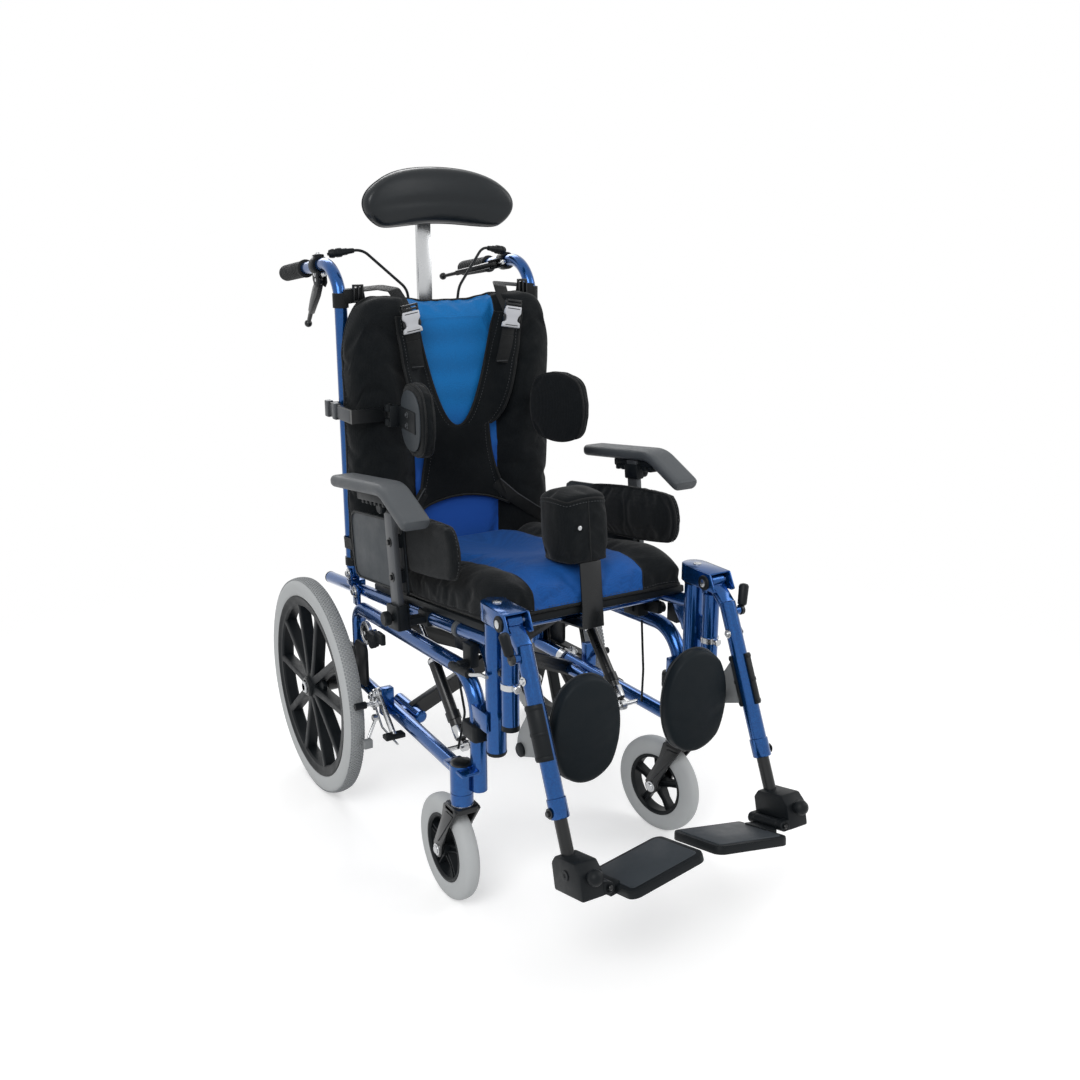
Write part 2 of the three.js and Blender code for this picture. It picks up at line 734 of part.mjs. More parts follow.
function armSocket() {
  const slotX = armPostThick / 2 + touchGap;
  const slotY = armPostWidth / 2 + touchGap;
  const inner = armPostHalf - slotX - socketWall;
  const shell = block(V(inner, armPostY - slotY - socketWall, socketLow),
    V(armPostHalf + slotX + socketWall, armPostY + slotY + socketWall, socketHigh));
  const slot = block(V(armPostHalf - slotX, armPostY - slotY, socketLow + socketWall),
    V(armPostHalf + slotX, armPostY + slotY, socketHigh + overrun));
  const bridge = block(V(seatHalf, armPostY - armPostWidth / 2, -railTube / 2),
    V(inner + socketWall / 2, armPostY + armPostWidth / 2, railTube / 2));
  return cut(fuse(shell, bridge), slot).applyMatrix4(seatGroup.matrix);
}

// Two ears that hold the foot of a back cane, on a block round the rail
const tongueThick = 8;
const reclineEar = 4; // thickness
const reclineRadius = 11;
const reclinePin = 4; // radius
const earInner = tongueThick / 2 + touchGap;
const earOuter = earInner + reclineEar;

function reclineEars() {
  const half = reclineRadius + overrun;
  const railTop = railZ(reclineY) + railTube;
  const bridgeTop = reclineZ - reclineRadius - 2 * touchGap;
  const grip = block(V(seatHalf - railTube, reclineY - half, railZ(reclineY) - half),
    V(seatHalf + railTube, reclineY + half, railTop));
  const bridge = block(V(seatHalf - railTube, reclineY - half, railTop - overrun),
    V(caneHalf + earOuter, reclineY + half, bridgeTop));
  const ears = both.flatMap((side) => {
    const x0 = caneHalf + middle(side * earInner, side * earOuter) - reclineEar / 2;
    return [
      block(V(x0, reclineY - reclineRadius, bridgeTop - overrun), V(x0 + reclineEar, reclineY + reclineRadius, reclineZ)),
      crossRod(x0, x0 + reclineEar, reclineY, reclineZ, reclineRadius),
    ];
  });
  const reach = earOuter + reclineEar;
  const pin = crossRod(caneHalf - reach, caneHalf + reach, reclineY, reclineZ, reclinePin, pinSides);
  return fuse(grip, bridge, ...ears, pin);
}

function seatFrame() {
  const left = seatSide();
  const tubes = [frontCrossY, strutCrossY + lugReach].map((y) => crossRod(-seatHalf, seatHalf, y, railZ(y), crossTube));
  const bores = both.flatMap((side) => [
    rod(V(side * postHalf, postY, postTop - hangerPinLength - overrun), V(side * postHalf, postY, postTop + overrun),
      holeFor(hangerPin, runGap, tubeSides)),
    crossRod(side * (seatHalf - 2 * railTube), side * (seatHalf + 2 * railTube), tiltY, tiltZ,
      holeFor(tiltPin, runGap / 2, tubeSides)),
  ]);
  return cut(fuse(left, mirrored(left), ...tubes), ...bores);
}

add(chair, 'seat_frame', seatFrame(), 'blue');

// Seat pan and cushion, in the seat's own frame

const panThick = 12;
const panOut = 4; // outside the centre of the rail
const cushionOut = 5;
const panHalf = seatHalf + panOut;
const cushionHalf = seatHalf + cushionOut;
const cushionFront = -6;
const cushionRear = 408;
const cushionThick = 62;
const bolsterRise = 8; // side bolsters above the centre
const bolsterFall = 26; // round outer edge of a bolster
const bolsterInner = 104; // middle plane to the seam between centre and bolster
const seamDepth = 4;
const seamWidth = 9;
const seatDip = 14;
const frontFall = 22; // round front edge
const cushionWaist = 3; // drawn in at mid height
const panLow = railTube + touchGap;
const cushionLow = panLow + panThick + touchGap;
const dipShares = { start: 0.45, length: 1.5, atBolster: 0.3 };
const cushionRoundShare = 0.1;
const frontRoundShare = 0.28; // of the half length, rounded down to the front

add(seatGroup, 'seat_pan', block(V(-panHalf, 0, panLow), V(panHalf, cushionRear, panLow + panThick)), 'black');

function cushionHeight(x, v) {
  const out = Math.max(Math.abs(x) - bolsterInner, 0) / (cushionHalf - bolsterInner);
  const inward = Math.min(Math.abs(x) / bolsterInner, 1);
  const bolster = bolsterRise * Math.sin(Math.PI * out) - bolsterFall * out ** 4;
  const seam = seamDepth * Math.exp(-(((Math.abs(x) - bolsterInner) / seamWidth) ** 2));
  const along = clamp((v + dipShares.start) / dipShares.length, 0, 1);
  const dip = seatDip * Math.sin(Math.PI * along) * (1 - inward * (1 - dipShares.atBolster));
  const front = clamp((-v - 1 + frontRoundShare) / frontRoundShare, 0, 1);
  return cushionThick + bolster - seam - dip - frontFall * front * front;
}

function seatCushion() {
  return softForm([18, 12, 3], (u, v, w) => {
    const top = (w + 1) / 2;
    const waist = cushionWaist * (1 - w * w);
    const x = u * (cushionHalf - waist) * Math.sqrt(1 - (cushionRoundShare * v * v) / 2);
    const y = cushionFront + ((v + 1) / 2) * (cushionRear - cushionFront);
    return V(x, y, cushionLow + top * cushionHeight(x, v));
  });
}

add(seatGroup, 'seat_cushion', seatCushion(), 'padBlue');

// Pommel on its bracket, which passes in front of the cushion and under the front cross tube

const pommelHalf = 41;
const pommelFront = -14;
const pommelDepth = 86;
const pommelHeight = 108;
const pommelPlateHalf = 19;
const pommelPlateThick = 3.5;
const pommelFoot = 76; // how far the bracket runs back under the seat
const pommelRise = 1.5; // bracket clear of the cushion
const flangeLow = cushionLow + cushionThick + pommelRise;
const pommelShares = { round: 0.35, waist: 0.05, rear: 0.1, crown: 0.06 };

function pommelBracket() {
  const front = cushionFront - pommelRise - pommelPlateThick;
  const footHigh = -crossTube - touchGap;
  const upright = block(V(-pommelPlateHalf, front, footHigh - pommelPlateThick),
    V(pommelPlateHalf, front + pommelPlateThick, flangeLow + pommelPlateThick));
  const flange = block(V(-pommelPlateHalf, front, flangeLow),
    V(pommelPlateHalf, pommelDepth / 2, flangeLow + pommelPlateThick));
  const foot = block(V(-pommelPlateHalf, front, footHigh - pommelPlateThick), V(pommelPlateHalf, pommelFoot, footHigh));
  return fuse(upright, flange, foot);
}

function pommel() {
  const low = flangeLow + pommelPlateThick + touchGap;
  const { round, waist, rear, crown } = pommelShares;
  return softForm([6, 6, 5], (u, v, w) => {
    const top = (w + 1) / 2;
    const x = u * pommelHalf * Math.sqrt(1 - (round * v * v) / 2) * (1 - waist * w * w) * (1 - rear * Math.max(v, 0));
    const y = pommelFront + ((v * Math.sqrt(1 - (round * u * u) / 2) + 1) / 2) * pommelDepth;
    return V(x, y, low + top * pommelHeight * (1 - crown * (u * u + v * v) * top));
  });
}

add(seatGroup, 'pommel_bracket', pommelBracket(), 'black');
add(seatGroup, 'pommel', pommel(), 'padBlack');

// Armrests: post with its side guard, arm pad and hip pad, in the seat's own frame

const armHeight = 229;
const armPadOut = 68; // outside the seat rail
const armPadHalf = seatHalf + armPadOut;
const armPadWidth = 48;
const armPadThick = 20;
const armPadRear = 345;
const armPadBend = 144;
const armPadTip = 62;
const armPadTipHeight = 178;
const armPadEdge = 5; // bevels of the pad's corners
const guardOut = 37.5; // outside the seat rail
const guardHalf = seatHalf + guardOut;
const guardThick = 4;
const guardFront = 183;
const guardRear = 398;
const guardLow = 44;
const guardHigh = 160;
const guardCorner = 16;
const guardTabRise = 30;
const guardTab = 20;
const hipThick = 25;
const hipFront = 28;
const hipRear = 300;
const hipLow = 78;
const hipHigh = 170;
const hipShares = { round: 0.45, crown: 0.3, tuck: 0.05 };

function armPost() {
  const postLow = socketLow + socketWall + touchGap;
  const inner = armPostHalf - armPostThick / 2;
  const post = block(V(inner, armPostY - armPostWidth / 2, postLow),
    V(inner + armPostThick, armPostY + armPostWidth / 2, armHeight - armPadThick - touchGap));
  const guard = sidePlate([
    [guardFront, guardLow],
    [guardRear - guardCorner, guardLow],
    [guardRear, guardLow + guardCorner],
    [guardRear, guardHigh - guardCorner],
    [guardRear - guardCorner, guardHigh],
    [guardFront, guardHigh],
  ], guardHalf - guardThick / 2, guardHalf + guardThick / 2);
  const tabs = [guardLow + guardTabRise, guardHigh - guardTabRise].map((z) => block(
    V(guardHalf, armPostY - guardTab / 2, z - guardTab / 2),
    V(armPostHalf, armPostY + guardTab / 2, z + guardTab / 2)));
  return fuse(post, guard, ...tabs);
}

function armPad() {
  const low = armHeight - armPadThick;
  const fall = Math.atan2(armHeight - armPadTipHeight, armPadBend - armPadTip);
  const underY = armPadThick * Math.sin(fall);
  const underZ = armPadThick * Math.cos(fall);
  const outline = [
    [armPadRear, low],
    [armPadRear, armHeight - armPadEdge],
    [armPadRear - armPadEdge, armHeight],
    [armPadBend + 2 * armPadEdge, armHeight],
    [armPadBend - 2 * armPadEdge, armHeight - armPadEdge],
    [armPadTip + armPadEdge, armPadTipHeight + armPadEdge],
    [armPadTip, armPadTipHeight - armPadEdge],
    [armPadTip + underY, armPadTipHeight - underZ],
    [armPadBend + underY, low - armPadEdge],
    [armPadBend + underY + 3 * armPadEdge, low],
  ];
  return sidePlate(outline, armPadHalf - armPadWidth / 2, armPadHalf + armPadWidth / 2);
}

function hipPad() {
  const half = V((hipRear - hipFront) / 2, hipThick / 2, (hipHigh - hipLow) / 2);
  const x = guardHalf - guardThick / 2 - touchGap - half.y;
  return softForm([10, 2, 6], (u, v, w) => {
    const p = padPoint(u, v, w, half, hipShares);
    return V(x - p.y, middle(hipFront, hipRear) + p.x, middle(hipLow, hipHigh) + p.z);
  });
}

addPair(seatGroup, 'arm_post', armPost(), 'grey');
addPair(seatGroup, 'arm_pad', armPad(), 'grey');
addPair(seatGroup, 'hip_pad', hipPad(), 'padBlack');

// Back frame: two canes that bend into push handles, two cross tubes and the headrest clamp

const caneBend = 66;
const backCrossLow = 70;
const crossBelowHandle = 114;
const backCrossHigh = handleRise - crossBelowHandle;
const headPostWidth = 27;
const headPostThick = 10;
const headClampWall = 7;
const headClampHeight = 34;
const handleBend = V(caneHalf, 0, handleRise);
const handleEnd = V(caneHalf, handleRun, handleRise - handleFall);
const handleWay = handleEnd.clone().sub(handleBend).normalize();

function cane() {
  const tubeStart = reclineRadius + overrun;
  const tube = pipe(roundCorners([V(caneHalf, 0, tubeStart), handleBend, handleEnd], caneBend), caneTube);
  const tongueRadius = reclineRadius - 2 * touchGap;
  const tongue = fuse(
    block(V(caneHalf - tongueThick / 2, -tongueRadius, 0), V(caneHalf + tongueThick / 2, tongueRadius, 2 * tubeStart)),
    crossRod(caneHalf - tongueThick / 2, caneHalf + tongueThick / 2, 0, 0, tongueRadius),
  );
  const hole = crossRod(caneHalf - tongueThick, caneHalf + tongueThick, 0, 0, holeFor(reclinePin), pinSides);
  return cut(fuse(tube, tongue), hole);
}

function headClamp() {
  const slotX = headPostWidth / 2 + touchGap;
  const slotY = headPostThick / 2 + touchGap;
  const low = backCrossHigh - headClampHeight / 2;
  const high = backCrossHigh + headClampHeight / 2;
  const body = block(V(-slotX - headClampWall, 0, low), V(slotX + headClampWall, headPostY + slotY + headClampWall, high));
  const slot = block(V(-slotX, headPostY - slotY, low - overrun), V(slotX, headPostY + slotY, high + overrun));
  return cut(body, slot);
}

function backFrame() {
  const left = cane();
  const tubes = [backCrossLow, backCrossHigh].map((z) => crossRod(-caneHalf, caneHalf, 0, z, crossTube));
  return fuse(left, mirrored(left), ...tubes, headClamp());
}

add(backGroup, 'back_frame', backFrame(), 'blue');

// Back pad: a blue centre between two raised black wings

const backPadRear = caneTube + touchGap; // plane of the canes to the rear of the pad
const wingDepth = 64;
const centreDepth = 36;
const lumbarDepth = 11; // extra depth low in the centre
const backSeam = 92; // middle plane to the seam between centre and wing
const seamHalf = 13;
const wingEdge = 34; // width of the rounded outer edge
const wingEdgeFall = 24;
const shoulderFall = 90; // of the top edge at the outer corners
const centreFall = 8; // of the top edge over the centre
const topEdge = 12; // rounding of the front over the top edge
const topEdgeShare = 0.14;
const shoulderShare = 0.28;
const backColumns = 20;
const columnShares = { centre: 0.3, wing: 0.6 }; // of the columns, up to each side of the seam

function padFront(x, z) {
  const side = Math.abs(x);
  const step = clamp((side - backSeam + seamHalf) / (2 * seamHalf), 0, 1);
  const raised = step * step * (3 - 2 * step);
  const down = clamp((backPadHigh - z) / (backPadHigh - backPadLow), 0, 1);
  const centre = centreDepth + lumbarDepth * down;
  const edge = clamp((side - backPadHalf + wingEdge) / wingEdge, 0, 1);
  return wingEdgeFall * edge * edge - backPadRear - centre - (wingDepth - centre) * raised;
}

// Carries the evenly spaced columns of the pad close together at its seams
function padColumn(u) {
  const side = Math.abs(u);
  const inner = backSeam - seamHalf;
  const outer = backSeam + seamHalf;
  const { centre, wing } = columnShares;
  if (side <= centre) return Math.sign(u) * (side / centre) * inner;
  if (side <= wing) return Math.sign(u) * (inner + ((side - centre) / (wing - centre)) * (outer - inner));
  return Math.sign(u) * (outer + ((side - wing) / (1 - wing)) * (backPadHalf - outer));
}

function backPad() {
  return softForm([backColumns, 2, 12], (u, v, w) => {
    const x = padColumn(u);
    const side = Math.abs(x) / backPadHalf;
    const corner = Math.max(side - 1 + shoulderShare, 0) / shoulderShare;
    const inward = Math.max(1 - Math.abs(x) / backSeam, 0);
    const top = backPadHigh - shoulderFall * corner ** 3 - centreFall * Math.min(2 * inward, 1);
    const z = backPadLow + ((w + 1) / 2) * (top - backPadLow);
    const over = Math.max(w - 1 + topEdgeShare, 0) / topEdgeShare;
    const front = padFront(x, z) + topEdge * over * over;
    return V(x, middle(-backPadRear, front) + (v * (-backPadRear - front)) / 2, z);
  });
}

const backPadSolid = backPad();
add(backGroup, 'back_pad', backPadSolid, 'padBlack');

// Vest: a padded bib with a V neck and two shoulder straps, lying on the back pad

const vestThick = 10;
const vestSink = 4; // drawn this far into the pad before the pad's shape is cut from it
const vestLow = 112;
const neckLow = 262;
const vestBelowPad = 22;
const vestHigh = backPadHigh - vestBelowPad;
const neckHalf = 76;
const strapWidth = 46;
const waistHalf = 62;
const hemHalf = 96;
const vestOverlap = 12;
const neckCurveShare = 0.55;

const neckEdge = (z) => neckHalf * clamp((z - neckLow) / (vestHigh - neckLow), 0, 1) ** neckCurveShare;

function vestSide(z) {
  if (z >= neckLow) return neckEdge(z) + strapWidth + (waistHalf - strapWidth) * clamp((vestHigh - z) / (vestHigh - neckLow), 0, 1);
  const down = (neckLow - z) / (neckLow - vestLow);
  return waistHalf + (hemHalf - waistHalf) * down * down;
}

function vestPanel(zLow, zHigh, left, right, counts) {
  return softForm(counts, (u, v, w) => {
    const z = zLow + ((w + 1) / 2) * (zHigh - zLow);
    const x = middle(left(z), right(z)) + (u * (right(z) - left(z))) / 2;
    const rear = padFront(x, z) + vestSink;
    const front = padFront(Math.abs(x) + seamHalf, z) - vestThick;
    return V(x, middle(rear, front) + (v * (rear - front)) / 2, z);
  });
}

function vest() {
  const bib = vestPanel(vestLow, neckLow + vestOverlap, (z) => -vestSide(z), vestSide, [12, 1, 6]);
  const strap = vestPanel(neckLow, vestHigh, neckEdge, vestSide, [5, 1, 8]);
  const clear = backPadSolid.clone().translate(0, -2 * touchGap, 0);
  return cut(fuse(bib, strap, mirrored(strap)), clear);
}

add(backGroup, 'vest', vest(), 'padBlack');

// Trunk supports: a flat bar behind the canes whose ends come forward to a hinge pin beside each wing

const trunkZ = 300; // above the recline pivot
const trunkBarHeight = 24;
const trunkBarThick = 6;
const trunkArmGap = 6; // arm clear of the pad's side
const trunkReach = 59; // from the arm inward to the hinge pin
const trunkPin = 4; // radius
const trunkPinHalf = 20;
const trunkKnuckle = 9; // radius
const knuckleHalf = 6; // height of the middle knuckle, halved
const trunkKnuckleEnd = 18;
const trunkPadHeight = 126;
const trunkPadDepth = 128;
const trunkPadThick = 32;
const trunkPadInset = 11; // pad's outer face inside the hinge pin
const trunkPadAhead = 8;
const trunkPlateThick = 6;
const trunkPlateRoot = 12;
const splayRight = THREE.MathUtils.degToRad(7);
const splayLeft = THREE.MathUtils.degToRad(18);
const trunkShares = { round: 0.75, crown: 0.3, tuck: 0.06 };
const trunkPlateShare = 0.8; // of the pad's depth
const trunkArmX = backPadHalf + trunkArmGap;
const trunkPinX = trunkArmX - trunkReach;
const trunkFront = -backPadRear - wingDepth - trunkArmGap; // rear face of the bar's inward ends
const trunkPinY = trunkFront - trunkBarThick - trunkKnuckle;

function trunkBar() {
  const low = trunkZ - trunkBarHeight / 2;
  const high = trunkZ + trunkBarHeight / 2;
  const barRear = caneTube + 2 * touchGap;
  const outer = trunkArmX + trunkBarThick;
  const across = block(V(-outer, barRear, low), V(outer, barRear + trunkBarThick, high));
  const arms = both.flatMap((side) => {
    const arm = block(V(trunkArmX, trunkFront - trunkBarThick, low), V(outer, barRear + trunkBarThick, high));
    const inward = block(V(trunkPinX, trunkFront - trunkBarThick, low), V(outer, trunkFront, high));
    const ear = block(V(trunkPinX - trunkPin, trunkPinY, trunkZ - knuckleHalf), V(trunkPinX + trunkPin, trunkFront, trunkZ + knuckleHalf));
    const pin = rod(V(trunkPinX, trunkPinY, trunkZ - trunkPinHalf), V(trunkPinX, trunkPinY, trunkZ + trunkPinHalf), trunkPin, pinSides);
    const end = fuse(arm, inward, ear, pin);
    return side > 0 ? end : mirrored(end);
  });
  return fuse(across, ...arms);
}

// A pad on its plate, drawn about the hinge pin and then swung out
function trunkPad(splay) {
  const half = V(trunkPadDepth / 2, trunkPadThick / 2, trunkPadHeight / 2);
  const pad = softForm([8, 2, 8], (u, v, w) => {
    const p = padPoint(u, v, w, half, trunkShares);
    return V(-p.y, p.x, p.z);
  });
  pad.translate(-half.y - trunkPadInset, -half.x - trunkPadAhead, 0);
  const plateX = -trunkPadInset - trunkPlateThick / 2;
  const plate = block(V(plateX, -trunkPlateShare * trunkPadDepth, -trunkKnuckleEnd),
    V(plateX + trunkPlateThick, -trunkPlateRoot, trunkKnuckleEnd));
  const root = block(V(plateX, -trunkPlateRoot - trunkPlateThick, -trunkKnuckleEnd), V(trunkPin, -trunkPlateRoot, trunkKnuckleEnd));
  const knuckles = both.flatMap((side) => {
    const low = Math.min(side * (knuckleHalf + touchGap), side * trunkKnuckleEnd);
    const high = Math.max(side * (knuckleHalf + touchGap), side * trunkKnuckleEnd);
    return [
      rod(V(0, 0, low), V(0, 0, high), trunkKnuckle - 2 * touchGap),
      block(V(-trunkPin, -trunkPlateRoot - trunkPlateThick / 2, low), V(trunkPin, 0, high)),
    ];
  });
  const bore = rod(V(0, 0, -trunkPinHalf - overrun), V(0, 0, trunkPinHalf + overrun), holeFor(trunkPin), pinSides);
  return cut(fuse(pad, plate, root, ...knuckles), bore).rotateZ(splay).translate(trunkPinX, trunkPinY, trunkZ);
}

add(backGroup, 'trunk_bar', trunkBar(), 'black');
add(backGroup, 'trunk_pad_left', trunkPad(splayLeft), 'padBlack');
add(backGroup, 'trunk_pad_right', mirrored(trunkPad(splayRight)), 'padBlack');

// Headrest: a flat post in the clamp, and a curved pad that tilts on the post's top

const postBelowHandle = 222;
const headPostLow = handleRise - postBelowHandle;
const pivotAboveHandle = 90;
const headPivotZ = handleRise + pivotAboveHandle;
const headPivotRadius = 9;
const headPadHalf = 144;
const headPadHeight = 94;
const headPadThick = 52;
const padBelowPivot = 30;
const headPadLow = headPivotZ - padBelowPivot;
const headPadY = 12; // middle of the pad's thickness
const headWrap = 20; // how far the ends come forward
const headStayHalf = 22;
const headLugThick = 5;
const headLugGap = 3;
const headShares = { arch: 2.6, endHeight: 0.3, endDrop: 0.62, crown: 0.72, endThin: 0.6, bulge: 0.1, tuck: 0.04 };

function headPost() {
  const low = V(-headPostWidth / 2, headPostY - headPostThick / 2, headPostLow);
  const high = V(headPostWidth / 2, headPostY + headPostThick / 2, headPivotZ);
  return fuse(block(low, high), crossRod(low.x, high.x, headPostY, headPivotZ, headPivotRadius));
}

function headPadForm() {
  const half = headPadHeight / 2;
  const { arch, endHeight, endDrop, crown, endThin, bulge, tuck } = headShares;
  return softForm([16, 4, 8], (u, v, w) => {
    const halfHere = half * Math.sqrt(Math.max(1 - Math.abs(u) ** arch, endHeight * endHeight));
    const thick = Math.sqrt(1 - crown * w * w) * Math.sqrt(1 - endThin * u ** 4);
    const y = headPadY - headWrap * u * u + (v * headPadThick * thick) / 2;
    const z = headPadLow + half - (half - halfHere) * endDrop + w * halfHere * (1 - bulge * v * v);
    return V(u * headPadHalf * (1 - tuck * v * v), y, z);
  });
}

function headPad() {
  const lugInner = headPostWidth / 2 + touchGap;
  const lugOuter = lugInner + headLugThick;
  const stayRear = headPostY - headPivotRadius - headLugGap;
  const low = headPivotZ - headPivotRadius;
  const high = headPivotZ + headPivotRadius;
  const stay = block(V(-headStayHalf, headPadY, low), V(headStayHalf, stayRear, high + headStayHalf));
  const lugs = both.map((side) => blockAbout(
    V((side * (lugInner + lugOuter)) / 2, middle(stayRear - headLugGap, headPostY + headPivotRadius), headPivotZ),
    V(headLugThick, headPostY + headPivotRadius - stayRear + headLugGap, high - low)));
  return fuse(headPadForm(), stay, ...lugs);
}

add(backGroup, 'headrest_post', headPost(), 'silver');
add(backGroup, 'headrest_pad', headPad(), 'padBlack');

// Push grips, hand levers and their clamps

const gripLength = 112;
const gripRadius = 15;
const gripCap = 4;
const gripSides = 12;
const leverAlong = 96; // clamp, measured back along the handle from its corner
const leverClampHalf = 11;
const leverClampWall = 5;
const leverPivot = 25; // pivot to the middle of the handle
const leverPivotRadius = 7;
const leverArm = 5; // radius
const leverKneeRun = 24;
const leverKneeDrop = 16;
const leverTipRun = 80;
const leverTipDrop = 72;
const leverBall = 8;
const leverInward = THREE.MathUtils.degToRad(78);

function pushGrip() {
  const end = handleEnd.clone().addScaledVector(handleWay, gripCap);
  const start = end.clone().addScaledVector(handleWay, -gripLength);
  const bore = rod(start.clone().addScaledVector(handleWay, -overrun), handleEnd.clone().addScaledVector(handleWay, touchGap),
    caneTube + 2 * touchGap);
  return cut(rod(start, end, gripRadius, gripSides), bore);
}

// Clamp and lever are drawn with the handle along Y and the lever hanging down, then turned about the handle
function handLever(turn) {
  const upward = V(1, 0, 0).cross(handleWay);
  const at = handleBend.clone().addScaledVector(handleWay, leverAlong);
  const place = (geometry) => geometry.rotateY(turn)
    .applyMatrix4(new THREE.Matrix4().makeBasis(V(1, 0, 0), handleWay, upward))
    .translate(at.x, at.y, at.z);
  const bore = rod(V(0, -2 * leverClampHalf, 0), V(0, 2 * leverClampHalf, 0), caneTube + runGap);
  const collar = rod(V(0, -leverClampHalf, 0), V(0, leverClampHalf, 0), caneTube + leverClampWall);
  const cheek = block(V(-leverPivotRadius, -leverClampHalf, leverPivotRadius - leverPivot + touchGap),
    V(leverPivotRadius, leverClampHalf, -caneTube));
  const pivot = V(0, 0, -leverPivot);
  const kneePoint = V(0, leverKneeRun, -leverPivot - leverKneeDrop);
  const tip = V(0, leverTipRun, -leverPivot - leverTipDrop);
  const lever = fuse(
    crossRod(-leverPivotRadius, leverPivotRadius, 0, -leverPivot, leverPivotRadius),
    rod(pivot, kneePoint, leverArm, pinSides),
    rod(kneePoint.clone().lerp(pivot, leverArm / leverKneeRun), tip, leverArm, pinSides),
    new THREE.SphereGeometry(leverBall, pinSides, pinSides / 2).translate(tip.x, tip.y, tip.z),
  );
  return [cut(fuse(collar, cheek), bore), lever].map(place);
}

addPair(backGroup, 'push_grip', pushGrip(), 'black');
const [clampLeft, leverLeft] = handLever(leverInward);
const [clampRight, leverRight] = handLever(0);
add(backGroup, 'lever_clamp_left', clampLeft, 'black');
add(backGroup, 'hand_lever_left', leverLeft, 'black');
add(backGroup, 'lever_clamp_right', mirrored(clampRight), 'black');
add(backGroup, 'hand_lever_right', mirrored(leverRight), 'black');

// Lever cables: one from each clamp, joined by a clip on the low cross tube

const cableRadius = 2.5;
const cableBend = 30;
const cableSides = 6;
const clipHalf = 6;
const cableIn = 10; // start of a cable inside the cane
const cableRear = 26; // how far its long run lies behind the canes
const cableRest = 8; // middle plane to the end of a cable
const cableRoute = [
  V(caneHalf - cableIn, 3 * cableRear, handleRise + cableRest),
  V(caneHalf - 2 * cableRear - 2 * cableRest, 2 * cableRear + cableRest, handleRise + 2 * cableRest),
  V(2 * cableRear, cableRear, handleRise - 2 * cableRear),
  V(cableBend + cableIn, cableRear, backCrossHigh - 2 * cableRest),
  V(2 * cableRest, cableRear, trunkZ - 2 * cableRear),
  V(cableRest, cableRear, backCrossLow),
];

function lockCables() {
  const left = pipe(roundCorners(cableRoute, cableBend), cableRadius, cableSides);
  const last = cableRoute[cableRoute.length - 1];
  const clip = block(V(-last.x - clipHalf, crossTube + touchGap, last.z - clipHalf),
    V(last.x + clipHalf, last.y + clipHalf, last.z + clipHalf));
  return fuse(left, mirrored(left), clip);
}

add(backGroup, 'lever_cables', lockCables(), 'black');

// Hangers: a box bracket on the front post with the upright that steadies it

const boxWidth = 42;
const boxGap = 4; // over the front post
const boxHeight = 27;
const boxLow = postTop + boxGap;
const boxHigh = boxLow + boxHeight;
const boxWall = 3;
const boxFrontTop = -291;
const boxFrontLow = -304;
const slotWall = 7;
const hangerTube = 13; // radius
const hangerY = -273;
const uprightLength = 149; // below the top of the front post
const hangerFoot = postTop - uprightLength;
const reliefY = -275;
const reliefDrop = 6;
const hookDrop = 50; // top of the hook plate below the top of the front post
const hookHeight = 42;
const reliefZ = postTop - reliefDrop;
const hookHigh = postTop - hookDrop;
const hookLow = hookHigh - hookHeight;
const kneePin = 4; // radius
const kneeHub = 10; // radius
const kneeHead = 8; // radius
const kneeHeadThick = 4;

function hanger() {
  const half = boxWidth / 2;
  const outer = postHalf + half;
  const inner = postHalf - half;
  const box = sidePlate([[postY, boxLow], [boxFrontLow, boxLow], [boxFrontTop, boxHigh], [postY, boxHigh]], inner, outer);
  const rear = rod(V(postHalf, postY, boxLow), V(postHalf, postY, boxHigh), half, gripSides);
  const hollow = block(V(inner + boxWall, boxFrontLow - overrun, boxLow + boxWall),
    V(outer - boxWall, postY - half, boxHigh - boxWall));
  const slot = block(V(inner + slotWall, boxFrontLow - overrun, boxLow - overrun),
    V(outer - slotWall, kneeY + kneeHub + overrun, boxLow + boxWall + overrun));
  const pin = rod(V(postHalf, postY, postTop - hangerPinLength), V(postHalf, postY, boxLow + boxWall), hangerPin);
  const relief = block(V(inner, hangerY - hangerTube - overrun, reliefZ), V(outer, reliefY, boxLow + boxWall));
  const upright = cut(rod(V(postHalf, hangerY, hangerFoot), V(postHalf, hangerY, boxLow + boxWall / 2), hangerTube), relief);
  const hook = block(V(postHalf - boxWall, hangerY, hookLow), V(postHalf + boxWall, postY - postTube - touchGap, hookHigh));
  const heads = [outer, inner - kneeHeadThick].map((x) => crossRod(x - touchGap, x + kneeHeadThick + touchGap,
    kneeY, kneeZ, kneeHead));
  const knee = crossRod(inner, outer, kneeY, kneeZ, kneePin, pinSides);
  const shell = cut(fuse(box, rear), hollow, slot);
  return fuse(shell, pin, upright, hook, knee, ...heads);
}

addPair(chair, 'hanger', hanger(), 'blue');

// Legrests: places are measured down the leg from the knee, and ahead of the knee square to the leg

const legWay = V(0, -Math.sin(legLean), -Math.cos(legLean));
const legAhead = V(0, -Math.cos(legLean), Math.sin(legLean));
const knee = V(postHalf, kneeY, kneeZ);
const onLeg = (along, ahead = legOffset) => knee.clone().addScaledVector(legWay, along).addScaledVector(legAhead, ahead);

const legStart = 35; // down the leg
const legEnd = 274;
const legBore = 10.4; // radius
const tongueWidth = 24;
const kneeTongue = 12; // thickness
const leverDown = 52; // leg lever's boss, down the leg
const leverBoss = 6; // radius
const leverStand = 7; // boss clear of the tube
const footStart = 168; // down the leg
const footEnd = 334;
const footTube = 9.4; // radius

